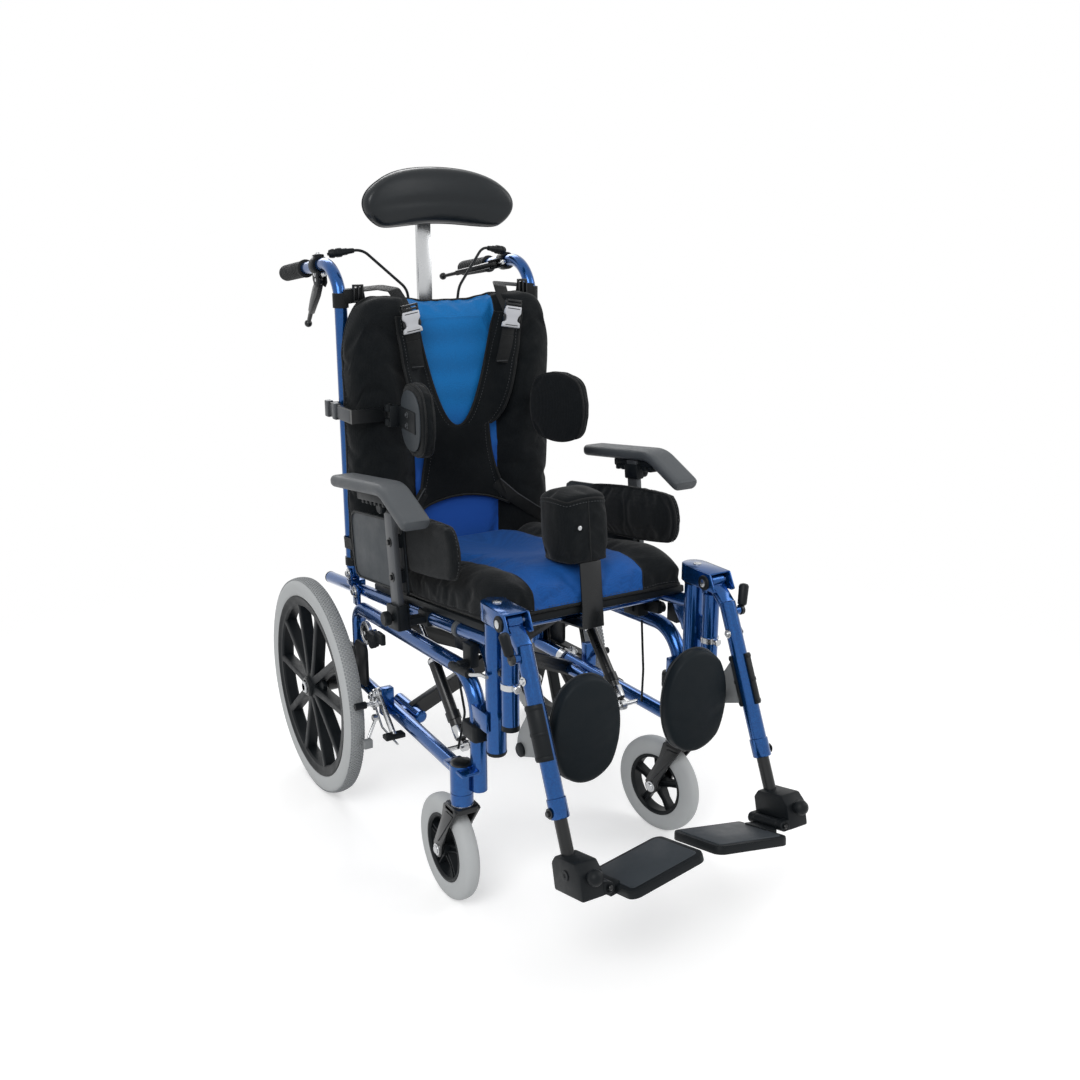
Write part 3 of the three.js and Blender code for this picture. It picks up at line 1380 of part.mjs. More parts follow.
function legrest() {
  const tube = rod(onLeg(legStart), onLeg(legEnd), legTube);
  const hub = crossRod(postHalf - tongueWidth / 2, postHalf + tongueWidth / 2, kneeY, kneeZ, kneeHub);
  const tongue = bar(knee, onLeg(legStart + kneeTongue / 2), tongueWidth, kneeTongue);
  const boss = rod(onLeg(leverDown), onLeg(leverDown).add(V(legTube + leverStand, 0, 0)), leverBoss, pinSides);
  const hole = crossRod(postHalf - tongueWidth, postHalf + tongueWidth, kneeY, kneeZ, holeFor(kneePin), pinSides);
  const bore = rod(onLeg(footStart - legTube), onLeg(legEnd + overrun), legBore);
  return cut(fuse(tube, hub, tongue, boss), hole, bore);
}

// Leg lever: turns on the boss and frees the legrest
const leverHub = 8; // radius
const leverHubThick = 6;
const leverRod = 4; // radius
const leverGrip = 7; // radius
const leverLength = 38;
const leverOut = 8;
const leverLean = 6;
const leverGripShare = 0.45; // of the lever, under the grip

function legLever() {
  const from = onLeg(leverDown).add(V(legTube + leverStand + touchGap, 0, 0));
  const hub = rod(from, from.clone().add(V(leverHubThick, 0, 0)), leverHub);
  const start = from.clone().add(V(leverRod + touchGap, 0, 0));
  const end = start.clone().add(V(leverOut, leverLean, leverLength));
  return fuse(hub, rod(start, end, leverRod, pinSides), rod(start.clone().lerp(end, 1 - leverGripShare), end, leverGrip));
}

// Calf bracket: a sleeve on the leg tube and a plate back to the knob that the pad turns on
const sleeveTop = 118; // down the leg
const sleeveEnd = 196;
const sleeveWall = 3.5;
const calfPlateThick = 5;
const calfDown = 179; // calf pad's pivot, down the leg
const calfBack = 49; // and behind the knee, square to the leg
const calfPivot = onLeg(calfDown, -calfBack);
const calfArmY = calfPivot.y;
const calfArmZ = calfPivot.z;
const calfArm = 7; // radius
const calfJournal = 5; // radius
const calfKnob = 9; // radius
const calfKnobThick = 16;
const calfPadIn = 83; // middle of the pad inside the leg
const calfPadHalf = postHalf - calfPadIn;
const calfPadWidth = 116;
const calfPadHeight = 166;
const calfPadThick = 34;
const calfStayShare = 0.7; // depth of the pad at which its stay begins
const calfPadAhead = 49; // face of the pad ahead of its pivot
const calfPadUp = 25; // middle of the pad above its pivot
const calfPadFront = calfArmY - calfPadAhead;
const calfPadZ = calfArmZ + calfPadUp;
const calfShares = { round: 0.8, crown: 0.28, tuck: 0.06 };

function calfBracket() {
  const inside = legTube + touchGap;
  const sleeve = cut(rod(onLeg(sleeveTop), onLeg(sleeveEnd), inside + sleeveWall),
    rod(onLeg(sleeveTop - overrun), onLeg(sleeveEnd + overrun), inside));
  const rear = legOffset - inside - sleeveWall / 2;
  const top = onLeg(sleeveTop + sleeveWall, rear);
  const low = onLeg(sleeveEnd - sleeveWall, rear);
  const plate = sidePlate([
    [low.y, low.z],
    [top.y, top.z],
    [calfArmY + calfArm, calfArmZ + 3 * calfKnob],
    [calfArmY + 2 * calfArm, calfArmZ],
    [calfArmY + calfArm, calfArmZ - 2 * calfArm],
  ], postHalf - calfPlateThick / 2, postHalf + calfPlateThick / 2);
  const knob = crossRod(postHalf, postHalf + calfKnobThick, calfArmY, calfArmZ, calfKnob);
  const hole = crossRod(postHalf - calfPlateThick, postHalf + calfPlateThick / 2, calfArmY, calfArmZ, holeFor(calfJournal),
    pinSides);
  return cut(fuse(sleeve, plate, knob), hole);
}

function calfPad() {
  const half = V(calfPadWidth / 2, calfPadThick / 2, calfPadHeight / 2);
  const pad = softForm([8, 2, 10], (u, v, w) => padPoint(u, v, w, half, calfShares));
  pad.translate(calfPadHalf, calfPadFront + half.y, calfPadZ);
  const shoulder = postHalf - calfPlateThick / 2 - touchGap;
  const arm = crossRod(calfPadHalf, shoulder, calfArmY, calfArmZ, calfArm);
  const journal = crossRod(calfPadHalf, postHalf + calfPlateThick / 2 - touchGap, calfArmY, calfArmZ, calfJournal, pinSides);
  const stay = block(V(calfPadHalf - 2 * calfKnob, calfPadFront + calfPadThick * calfStayShare, calfArmZ - 2 * calfKnob),
    V(calfPadHalf + 2 * calfKnob, calfArmY, calfArmZ + 2 * calfKnob));
  return fuse(pad, arm, journal, stay);
}

addPair(chair, 'legrest', legrest(), 'blue');
addPair(chair, 'leg_lever', legLever(), 'black');
addPair(chair, 'calf_bracket', calfBracket(), 'grey');
addPair(chair, 'calf_pad', calfPad(), 'padBlack');

// Foot tubes with the hinge block, and the flip-up footplates, in a frame that leans with the shoe

const footPitch = THREE.MathUtils.degToRad(14);
const footRoll = THREE.MathUtils.degToRad(9);
const shoeDown = 351.8; // middle of the hinge block, down the leg
const shoeAhead = 31.7;
const shoe = onLeg(shoeDown, shoeAhead);
const shoeWidth = 36;
const shoeDepth = 74;
const shoeHeight = 50;
const hingeDrop = 16; // hinge pin below the middle of the block
const knuckle = 8; // radius
const knuckleLength = 12;
const knucklePin = 3.5; // radius
const plateMiddleGap = 10.7; // middle plane of the chair to the plate, before its roll
const plateDepth = 112;
const plateThick = 14;
const plateSink = 6; // tread below the hinge pin
const plateAhead = 8; // plate set forward of the block's middle
const plateCorner = 14;
const plateRim = 10;
const trayDepth = 3;

const pinX = -shoeWidth / 2 - knuckle - touchGap;
const plateWidth = postHalf + pinX - knuckle - plateSink - plateMiddleGap;
const toShoe = (geometry) => geometry.rotateX(-footPitch).translate(shoe.x, shoe.y, shoe.z);

function footTubePiece() {
  const tube = rod(onLeg(footStart), onLeg(footEnd), footTube);
  const body = blockAbout(V(0, 0, 0), V(shoeWidth, shoeDepth, shoeHeight));
  const ends = both.flatMap((side) => {
    const y = (side * (shoeDepth - knuckleLength)) / 2;
    const low = y - knuckleLength / 2;
    const high = y + knuckleLength / 2;
    return [
      rod(V(pinX, low, -hingeDrop), V(pinX, high, -hingeDrop), knuckle),
      block(V(pinX, low, -hingeDrop - knuckle), V(overrun - shoeWidth / 2, high, knuckle - hingeDrop)),
    ];
  });
  const pinEnd = shoeDepth / 2 + knucklePin;
  const pin = rod(V(pinX, -pinEnd, -hingeDrop), V(pinX, pinEnd, -hingeDrop), knucklePin, pinSides);
  return fuse(tube, toShoe(fuse(body, ...ends, pin)));
}

function footplateSlab() {
  const inner = -knuckle - plateSink;
  const outer = inner - plateWidth;
  const front = -plateDepth / 2 - plateAhead;
  const rear = plateDepth / 2 - plateAhead;
  const outline = [
    [inner, front + plateCorner],
    [inner - plateCorner, front],
    [outer + plateCorner, front],
    [outer, front + plateCorner],
    [outer, rear - plateCorner],
    [outer + plateCorner, rear],
    [inner, rear],
  ];
  const shape = new THREE.Shape(outline.map(([x, y]) => new THREE.Vector2(x, y)));
  const slab = new THREE.ExtrudeGeometry(shape, { depth: plateThick, bevelEnabled: false });
  slab.translate(0, 0, -plateSink - plateThick);
  const tray = block(V(outer + plateRim, front + plateRim, -plateSink - trayDepth),
    V(inner - plateRim, rear - plateRim, overrun));
  return cut(slab, tray);
}

function footplate() {
  const half = shoeDepth / 2 - knuckleLength - touchGap;
  const barrel = rod(V(0, -half, 0), V(0, half, 0), knuckle);
  const arm = block(V(-knuckle - 2 * plateSink, -half, -plateSink - plateThick), V(-knuckle / 2, half, -plateSink / 2));
  const bore = rod(V(0, -plateDepth, 0), V(0, plateDepth, 0), holeFor(knucklePin), pinSides);
  const plate = cut(fuse(barrel, arm, footplateSlab()), bore);
  return toShoe(plate.rotateY(footRoll).translate(pinX, 0, -hingeDrop));
}

addPair(chair, 'foot_tube', footTubePiece(), 'black');
addPair(chair, 'footplate', footplate(), 'black');

// The middle of the chair's whole length stands over the origin

const wheelchair = new THREE.Group();
const extent = new THREE.Box3().setFromObject(chair, true);
chair.position.y = -middle(extent.min.y, extent.max.y);
wheelchair.add(chair);

export default wheelchair;
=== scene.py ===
# %% [markdown]
# # Dressing a wheelchair that tilts
# This lesson builds the looks of an attendant's wheelchair around a packed engineering model. The packed
# model already holds every solid at its true place, with the joints between them. Here each solid gets a
# smoother, better finished piece that stands for it and moves with the same body. All sizes are written in
# millimetres, in the frame in which the chair was drawn, and one function turns them into Blender's metres.

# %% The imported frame
import math
import bmesh
import bpy
from mathutils import Matrix, Vector, noise
from mathutils.bvhtree import BVHTree


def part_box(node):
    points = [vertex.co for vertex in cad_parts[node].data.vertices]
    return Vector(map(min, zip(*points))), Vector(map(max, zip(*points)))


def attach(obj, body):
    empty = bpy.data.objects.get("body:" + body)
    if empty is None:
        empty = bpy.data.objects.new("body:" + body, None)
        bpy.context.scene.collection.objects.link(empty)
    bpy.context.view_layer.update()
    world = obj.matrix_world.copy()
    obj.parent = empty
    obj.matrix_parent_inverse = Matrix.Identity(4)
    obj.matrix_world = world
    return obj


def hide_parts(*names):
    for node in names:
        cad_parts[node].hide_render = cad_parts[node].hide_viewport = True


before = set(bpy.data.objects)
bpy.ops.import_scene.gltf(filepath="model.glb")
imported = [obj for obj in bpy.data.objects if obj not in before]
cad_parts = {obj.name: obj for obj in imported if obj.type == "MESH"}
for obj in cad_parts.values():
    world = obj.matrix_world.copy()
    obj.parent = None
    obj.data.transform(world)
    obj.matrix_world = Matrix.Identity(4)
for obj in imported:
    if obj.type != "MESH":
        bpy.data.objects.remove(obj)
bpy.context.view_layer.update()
scene = bpy.context.scene
MM = 0.001
X, Y, Z = Vector((1, 0, 0)), Vector((0, 1, 0)), Vector((0, 0, 1))
AXLE = Vector((253, 338, 203))
SIDES = (("left", 1), ("right", -1))
low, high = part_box("rear_tyre_left")
CENTRE_Y = (low.y + high.y) / 2 / MM - AXLE.y

# %% [markdown]
# ## Camera, floor and light
# A product photograph has one camera at a fixed place, a white sweep under the object, and large soft lamps.
# The lamps are set so that a colour renders about as it is written. The floor and the world show white to the
# camera and to reflections, through a Light Path node, while they light the object at a plain level.

# %% Camera at the photograph's place
EYE = Vector((-938.7, -1611.3, 1057.9))
GAZE = Vector((0.49678, 0.82391, -0.27273))
LENS = 38.77
SENSOR = 36


def metres(point):
    return Vector((point[0], point[1] + CENTRE_Y, point[2])) * MM


def placed(name, data):
    """A new object in the scene."""
    item = bpy.data.objects.new(name, data)
    scene.collection.objects.link(item)
    return item


camera_data = bpy.data.cameras.new("photograph")
camera_data.lens = LENS
camera_data.sensor_width = SENSOR
camera = placed("photograph", camera_data)
camera.location = metres(EYE)
camera.rotation_euler = GAZE.to_track_quat("-Z", "Y").to_euler()
scene.camera = camera
scene.view_settings.view_transform = "Standard"
print("camera at", [round(c, 3) for c in camera.location])

# %% Small node helpers


def add_node(tree, kind, values=None, **settings):
    """A node with its settings and the values of its unlinked inputs."""
    node = tree.nodes.new(kind)
    for name, value in settings.items():
        setattr(node, name, value)
    for name, value in (values or {}).items():
        node.inputs[name].default_value = value
    return node


def join(tree, *steps):
    """Links outputs to inputs, each step a (node, output, node, input)."""
    for source, output, target, socket in steps:
        tree.links.new(source.outputs[output], target.inputs[socket])


def white_to_camera(tree, lit):
    """Shows the world as white to the camera and in reflections, and as it is to all other light."""
    path = add_node(tree, "ShaderNodeLightPath")
    glow = add_node(tree, "ShaderNodeBackground", {"Color": WHITE, "Strength": 1})
    either = add_node(tree, "ShaderNodeMath", operation="MAXIMUM")
    any_of = add_node(tree, "ShaderNodeMath", operation="MAXIMUM")
    mix = add_node(tree, "ShaderNodeMixShader")
    join(tree, (path, "Is Camera Ray", either, 0), (path, "Is Glossy Ray", either, 1), (either, 0, any_of, 0),
         (path, "Is Transmission Ray", any_of, 1), (any_of, 0, mix, 0), (lit, 0, mix, 1), (glow, 0, mix, 2))
    return mix


# %% World, floor and lamps
WHITE = (1, 1, 1, 1)
WORLD_LEVEL = 0.55
FLOOR_GREY = 0.8
FLOOR_GLOW = 0.36
FLOOR_SIZE = 60
FADE = (0.75, 1.7)  # metres from the middle, between which the floor clears
AIM = Vector((0, 0, 0.5))
LAMPS = [  # place in metres, size, power
    ((-2.6, -2.4, 3.2), 2.2, 95),
    ((2.8, -1.6, 2.2), 1.8, 34),
    ((0.4, 2.9, 2.6), 2.0, 45),
]
world = bpy.data.worlds.new("studio")
scene.world = world
world.use_nodes = True
tree = world.node_tree
lit = tree.nodes["Background"]
lit.inputs["Color"].default_value = WHITE
lit.inputs["Strength"].default_value = WORLD_LEVEL
join(tree, (white_to_camera(tree, lit), 0, tree.nodes["World Output"], 0))

floor_mesh = bpy.data.meshes.new("floor")
h = FLOOR_SIZE / 2
floor_mesh.from_pydata([(-h, -h, 0), (h, -h, 0), (h, h, 0), (-h, h, 0)], [], [(0, 1, 2, 3)])
floor = placed("floor", floor_mesh)
floor_look = bpy.data.materials.new("floor")
floor_look.use_nodes = True
tree = floor_look.node_tree
tree.nodes.remove(tree.nodes["Principled BSDF"])
out = tree.nodes["Material Output"]
matt = add_node(tree, "ShaderNodeBsdfDiffuse", {"Color": (FLOOR_GREY,) * 3 + (1,)})
glow = add_node(tree, "ShaderNodeEmission", {"Color": WHITE})
path = add_node(tree, "ShaderNodeLightPath")
seen = add_node(tree, "ShaderNodeMath", operation="MAXIMUM")
scaled = add_node(tree, "ShaderNodeMath", {1: FLOOR_GLOW}, operation="MULTIPLY")
both = add_node(tree, "ShaderNodeAddShader")
place = add_node(tree, "ShaderNodeTexCoord")
reach = add_node(tree, "ShaderNodeVectorMath", operation="LENGTH")
fade = add_node(tree, "ShaderNodeMapRange", {"From Min": FADE[0], "From Max": FADE[1]},
                interpolation_type="SMOOTHSTEP")
clear = add_node(tree, "ShaderNodeBsdfTransparent")
edge = add_node(tree, "ShaderNodeMixShader")
join(tree, (path, "Is Camera Ray", seen, 0), (path, "Is Glossy Ray", seen, 1), (seen, 0, scaled, 0),
     (scaled, 0, glow, "Strength"), (matt, 0, both, 0), (glow, 0, both, 1), (place, "Object", reach, 0),
     (reach, "Value", fade, "Value"), (fade, 0, edge, 0), (both, 0, edge, 1), (clear, 0, edge, 2), (edge, 0, out, 0))
floor_mesh.materials.append(floor_look)

for number, (place, size, power) in enumerate(LAMPS):
    lamp_data = bpy.data.lights.new(f"softbox_{number}", "AREA")
    lamp_data.size = size
    lamp_data.energy = power
    lamp = placed(f"softbox_{number}", lamp_data)
    lamp.location = place
    lamp.rotation_euler = (AIM - Vector(place)).to_track_quat("-Z", "Y").to_euler()
print("lamps", len(LAMPS))

# %% [markdown]
# ## Finishes
# Every finish is a Principled shader with a pattern on Object coordinates, so it needs no UV map and stays put
# when the piece moves. Three things change over each surface: the colour, a little; the roughness; and the
# height, as a bump. Lacquer has fine flakes and orange peel, moulded plastic a pebbled grain, cloth a knit of
# small cells, and vinyl a net of soft creases. The real materials differ in just these ways.

# %% One maker for all finishes
LOOKS = {}
COAT_ROUGH, SHEEN_ROUGH, FLAKE = 0.08, 0.5, 0.0011


def finish(name, colour, rough, metal=0.0, coat=0.0, mottle=0.12, spot=0.02, grain="noise", pitch=0.0015,
           depth=0.1, fleck=None, sheen=0.0, specular=0.5, low_shade=None):
    """A material: mottle is how much the colour varies over spot metres, depth the height of its grain, and low_shade
    a darker second colour, painted shade, full below its first height and gone above its second."""
    material = bpy.data.materials.new(name)
    material.use_nodes = True
    tree = material.node_tree
    shader = tree.nodes["Principled BSDF"]
    for label, value in (("Metallic", metal), ("Coat Weight", coat), ("Coat Roughness", COAT_ROUGH),
                         ("Sheen Weight", sheen), ("Sheen Roughness", SHEEN_ROUGH), ("Specular IOR Level", specular)):
        shader.inputs[label].default_value = value
    place = add_node(tree, "ShaderNodeTexCoord")
    cloud = add_node(tree, "ShaderNodeTexNoise", {"Scale": 1 / spot, "Detail": 3.0, "Roughness": 0.6})
    dark = tuple(c * (1 - mottle) for c in colour) + (1,)
    pale = tuple(min(c * (1 + mottle), 1) for c in colour) + (1,)
    tint = add_node(tree, "ShaderNodeMix", {6: dark, 7: pale}, data_type="RGBA")
    shine = add_node(tree, "ShaderNodeMapRange", {"From Min": 0.3, "From Max": 0.7, "To Min": rough * 0.88,
                                                  "To Max": min(rough * 1.14, 1)})
    join(tree, (place, "Object", cloud, "Vector"), (cloud, "Fac", tint, 0), (cloud, "Fac", shine, "Value"),
         (shine, 0, shader, "Roughness"))
    colour_out = (tint, 2)
    if grain == "cells":
        cells = add_node(tree, "ShaderNodeTexVoronoi", {"Scale": 1 / pitch, "Randomness": 0.35}, feature="F1")
        height = add_node(tree, "ShaderNodeMapRange", {"From Max": 0.55})
        shade = add_node(tree, "ShaderNodeMix", {0: 1.0}, data_type="RGBA", blend_type="MULTIPLY")
        ramp = add_node(tree, "ShaderNodeMapRange", {"To Min": 1.0, "To Max": 0.55})
        join(tree, (place, "Object", cells, "Vector"), (cells, "Distance", height, "Value"),
             (height, 0, ramp, "Value"), (*colour_out, shade, 6), (ramp, 0, shade, 7))
        colour_out = (shade, 2)
    elif grain == "creases":
        cells = add_node(tree, "ShaderNodeTexVoronoi", {"Scale": 1 / pitch, "Randomness": 1.0},
                         feature="DISTANCE_TO_EDGE")
        height = add_node(tree, "ShaderNodeMapRange", {"From Max": 0.12})
        join(tree, (place, "Object", cells, "Vector"), (cells, "Distance", height, "Value"))
    else:
        height = add_node(tree, "ShaderNodeTexNoise", {"Scale": 1 / pitch, "Detail": 3.0, "Roughness": 0.7})
        join(tree, (place, "Object", height, "Vector"))
    if fleck:
        flakes = add_node(tree, "ShaderNodeTexVoronoi", {"Scale": 1 / FLAKE}, feature="F1")
        bright = add_node(tree, "ShaderNodeMapRange", {"To Max": 0.5})
        glint = add_node(tree, "ShaderNodeMix", {7: tuple(fleck) + (1,)}, data_type="RGBA")
        join(tree, (place, "Object", flakes, "Vector"), (flakes, "Color", bright, "Value"), (bright, 0, glint, 0),
             (*colour_out, glint, 6))
        colour_out = (glint, 2)
    # Painted shade: below a given height the colour turns to a darker second colour.
    if low_shade:
        axes = add_node(tree, "ShaderNodeSeparateXYZ")
        rise = add_node(tree, "ShaderNodeMapRange", {"From Min": low_shade[1], "From Max": low_shade[2]})
        shaded_low = add_node(tree, "ShaderNodeMix", {6: tuple(low_shade[0]) + (1,)}, data_type="RGBA")
        join(tree, (place, "Object", axes, 0), (axes, "Z", rise, "Value"), (rise, 0, shaded_low, 0),
             (*colour_out, shaded_low, 7))
        colour_out = (shaded_low, 2)
    bump = add_node(tree, "ShaderNodeBump", {"Strength": 1.0, "Distance": depth * MM})
    join(tree, (*colour_out, shader, "Base Color"), (height, 0, bump, "Height"), (bump, 0, shader, "Normal"))
    LOOKS[name] = material


finish("lacquer", (0.003, 0.043, 0.18), 0.2, metal=0.8, coat=0.5, mottle=0.08, spot=0.05, pitch=0.004, depth=0.02,
       fleck=(0.01, 0.135, 0.41), specular=0.3)
finish("gloss_black", (0.004, 0.005, 0.006), 0.3, coat=0.12, pitch=0.003, depth=0.03, specular=0.35)
finish("plastic", (0.0055, 0.0072, 0.0088), 0.46, pitch=0.0008, depth=0.04, specular=0.16)
finish("grey_plastic", (0.062, 0.069, 0.076), 0.5, grain="creases", pitch=0.0014, depth=0.05, specular=0.35)
finish("slate", (0.03, 0.037, 0.044), 0.5, mottle=0.06, spot=0.03, pitch=0.0009, depth=0.03, specular=0.3)
finish("grip", (0.006, 0.007, 0.008), 0.6, pitch=0.0012, depth=0.08, specular=0.25)
finish("steel", (0.52, 0.53, 0.54), 0.26, metal=1.0, mottle=0.05, spot=0.04, pitch=0.0006, depth=0.005)
finish("dull_metal", (0.07, 0.075, 0.082), 0.4, metal=0.5, mottle=0.08, spot=0.05, pitch=0.0008, depth=0.02,
       specular=0.35)
finish("pale_grey", (0.2, 0.21, 0.215), 0.5, mottle=0.06, spot=0.03, pitch=0.001, depth=0.03)
finish("tyre", (0.44, 0.455, 0.46), 0.62, mottle=0.05, spot=0.04, pitch=0.0011, depth=0.05, specular=0.3)
finish("tread", (0.26, 0.272, 0.28), 0.8, mottle=0.15, spot=0.008, pitch=0.0012, depth=0.1)
finish("black_cloth", (0.0058, 0.008, 0.0098), 0.85, mottle=0.25, spot=0.02, grain="cells", pitch=0.0021, depth=0.3,
       sheen=0.09, specular=0.12)
# The back's blue cloth darkens to a purplish blue on its lower part, full below 0.61 m and gone above 0.73 m: painted
# shade.
finish("blue_cloth", (0.006, 0.215, 0.62), 0.6, mottle=0.07, spot=0.03, grain="cells", pitch=0.0013, depth=0.05,
       low_shade=((0.014, 0.085, 0.4), 0.61, 0.73), sheen=0.04, specular=0.2)
# The seat's blue is a darker, more purple copy of the back's blue cloth: painted shade on the seat.
finish("blue_cloth_shaded", (0.009, 0.115, 0.45), 0.62, mottle=0.08, spot=0.03, grain="cells", pitch=0.0013, depth=0.06,
       sheen=0.04, specular=0.2)
finish("webbing", (0.0042, 0.0055, 0.0065), 0.6, grain="cells", pitch=0.0013, depth=0.2, sheen=0.06, specular=0.2)
finish("vinyl", (0.0036, 0.0062, 0.0085), 0.33, coat=0.12, grain="creases", pitch=0.0013, depth=0.03, specular=0.28)
finish("matt_vinyl", (0.0028, 0.006, 0.0086), 0.55, grain="creases", pitch=0.0013, depth=0.03, specular=0.17)
finish("buckle", (0.52, 0.53, 0.56), 0.3, mottle=0.05, pitch=0.001, depth=0.02)
finish("thread", (0.035, 0.038, 0.042), 0.7, pitch=0.0006, depth=0.05)
print("finishes", len(LOOKS))

# %% [markdown]
# ## Shapes
# A shape here is a pair: its points, in millimetres, and its faces. Tubes are swept along a path with round
# corners, wheels and knobs are turned about an axis, and plates are outlines given a thickness and then broken
# edges. Real edges are never perfectly sharp: the small bevel is what catches the light.

# %% Tubes and turned shapes


def vectors(points):
    return [Vector(p) for p in points]


def rounded(points, bend, step=math.radians(7.5)):
    """A path with round corners."""
    points = vectors(points)
    stations = [points[0]]
    for before, corner, after in zip(points, points[1:], points[2:]):
        into = (corner - before).normalized()
        out = (after - corner).normalized()
        angle = into.angle(out)
        start = corner - into * bend * math.tan(angle / 2)
        centre_way = (out - into * out.dot(into)).normalized()
        steps = max(2, math.ceil(angle / step))
        for k in range(steps + 1):
            turn = angle * k / steps
            stations.append(start + into * bend * math.sin(turn) + centre_way * bend * (1 - math.cos(turn)))
    return stations + [points[-1]]


def skin(rings, closed=False, caps=True):
    """Faces over rings that all have the same number of points."""
    sides = len(rings[0])
    points = [p for ring in rings for p in ring]
    faces = []
    count = len(rings)
    for i in range(count if closed else count - 1):
        a, b = i * sides, ((i + 1) % count) * sides
        faces += [(a + j, a + (j + 1) % sides, b + (j + 1) % sides, b + j) for j in range(sides)]
    if caps and not closed:
        faces.append(tuple(reversed(range(sides))))
        faces.append(tuple(range((count - 1) * sides, count * sides)))
    return points, faces


def sweep(stations, section, closed=False, side=None, sizes=None):
    """A section carried along a path; side is where the section's first axis starts out."""
    stations = vectors(stations)
    count = len(stations)
    rings, first = [], None
    for i, at in enumerate(stations):
        ahead = stations[(i + 1) % count] if closed or i < count - 1 else at
        behind = stations[i - 1] if closed or i else at
        way = (ahead - behind).normalized()
        if first is None:
            first = Vector(side) if side else X if abs(way.x) < 0.9 else Y
        first = (first - way * first.dot(way)).normalized()
        second = way.cross(first)
        size = sizes[i] if sizes else 1
        rings.append([at + (first * u + second * v) * size for u, v in section])
    return skin(rings, closed)


def oval(half_u, half_v, sides):
    return [(half_u * math.cos(2 * math.pi * k / sides), half_v * math.sin(2 * math.pi * k / sides))
            for k in range(sides)]


def circle(radius, sides=24):
    return oval(radius, radius, sides)


def tube(points, radius, bend=0, sides=24):
    return sweep(rounded(points, bend) if bend else points, circle(radius, sides))


def turned(profile, at, way, sides=32, closed=False):
    """A profile of (along, radius) turned about a line through a point."""
    at, way = Vector(at), Vector(way).normalized()
    first = way.orthogonal().normalized()
    second = way.cross(first)
    rings = [[at + way * along + (first * u + second * v) for u, v in circle(max(radius, 0.02), sides)]
             for along, radius in profile]
    return skin(rings, closed)


def rod(a, b, radius, edge=0.8, sides=24):
    """A round bar with broken ends."""
    a, b = Vector(a), Vector(b)
    length = (b - a).length
    return turned([(0, radius - edge), (edge, radius), (length - edge, radius), (length, radius - edge)], a, b - a,
                  sides)


def axes_at(first, second, third, at):
    """The matrix that lays the three axes along three directions from a point."""
    place = Matrix((first, second, third)).transposed().to_4x4()
    place.translation = at
    return place


def merged(*shapes):
    points, faces = [], []
    for shape_points, shape_faces in shapes:
        start = len(points)
        points += list(shape_points)
        faces += [tuple(start + i for i in face) for face in shape_faces]
    return points, faces


def moved(shape, matrix):
    return [matrix @ Vector(p) for p in shape[0]], shape[1]


def mirrored(shape):
    return [Vector((-p[0], p[1], p[2])) for p in shape[0]], [tuple(reversed(face)) for face in shape[1]]


# %% Plates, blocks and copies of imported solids


def broken(shape, edge, segments=2, least=math.radians(28)):
    """The shape with its sharp edges rounded."""
    mesh = bmesh.new()
    corners = [mesh.verts.new(p) for p in shape[0]]
    for face in shape[1]:
        mesh.faces.new([corners[i] for i in face])
    bmesh.ops.recalc_face_normals(mesh, faces=mesh.faces)
    sharp = [e for e in mesh.edges if len(e.link_faces) == 2 and e.calc_face_angle(0) > least]
    if edge > 0:
        bmesh.ops.bevel(mesh, geom=sharp, offset=edge, segments=segments, profile=0.5, affect="EDGES",
                        clamp_overlap=True)
    mesh.verts.index_update()
    result = [v.co.copy() for v in mesh.verts], [tuple(v.index for v in f.verts) for f in mesh.faces]
    mesh.free()
    return result


def plate(outline, low, high, across="x", edge=0.8):
    """An outline in the plane square to an axis, from low to high along it."""
    put = {"x": lambda a, b, c: (c, a, b), "y": lambda a, b, c: (a, c, b), "z": lambda a, b, c: (a, b, c)}[across]
    rings = [[Vector(put(a, b, c)) for a, b in outline] for c in (low, high)]
    return broken(skin(rings), edge)


def block(low, high, edge=0.8):
    return plate([(low[0], low[1]), (high[0], low[1]), (high[0], high[1]), (low[0], high[1])], low[2], high[2],
                 "z", edge)


def beam(a, b, width, thick, across=X, edge=0.8):
    """A flat bar from a to b, its width along across."""
    a, b = Vector(a), Vector(b)
    way = (b - a).normalized()
    side = (Vector(across) - way * Vector(across).dot(way)).normalized()
    up = way.cross(side)
    rings = [[end + side * width / 2 * u + up * thick / 2 * v for u, v in ((-1, -1), (1, -1), (1, 1), (-1, 1))]
             for end in (a, b)]
    return broken(skin(rings), edge)


def arc(centre, radius, start, end, steps=8):
    """Points on an arc in a plane, angles in degrees."""
    turns = [math.radians(start + (end - start) * k / steps) for k in range(steps + 1)]
    return [(centre[0] + radius * math.cos(turn), centre[1] + radius * math.sin(turn)) for turn in turns]


WELD, FLAT = 0.002 * MM, math.radians(1)


def packed(node, edge):
    """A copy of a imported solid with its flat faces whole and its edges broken, back in millimetres."""
    mesh = bmesh.new()
    mesh.from_mesh(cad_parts[node].data)
    bmesh.ops.remove_doubles(mesh, verts=mesh.verts, dist=WELD)
    bmesh.ops.dissolve_limit(mesh, angle_limit=FLAT, verts=mesh.verts, edges=mesh.edges)
    mesh.verts.index_update()
    points = [Vector((v.co.x / MM, v.co.y / MM - CENTRE_Y, v.co.z / MM)) for v in mesh.verts]
    faces = [tuple(v.index for v in f.verts) for f in mesh.faces]
    mesh.free()
    return broken((points, faces), edge)


# %% Turning shapes into pieces
made = []


def riding(item, body, nodes=()):
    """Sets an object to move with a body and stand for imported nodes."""
    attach(item, body)
    if nodes:
        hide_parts(*nodes)
    made.append(item)
    return item


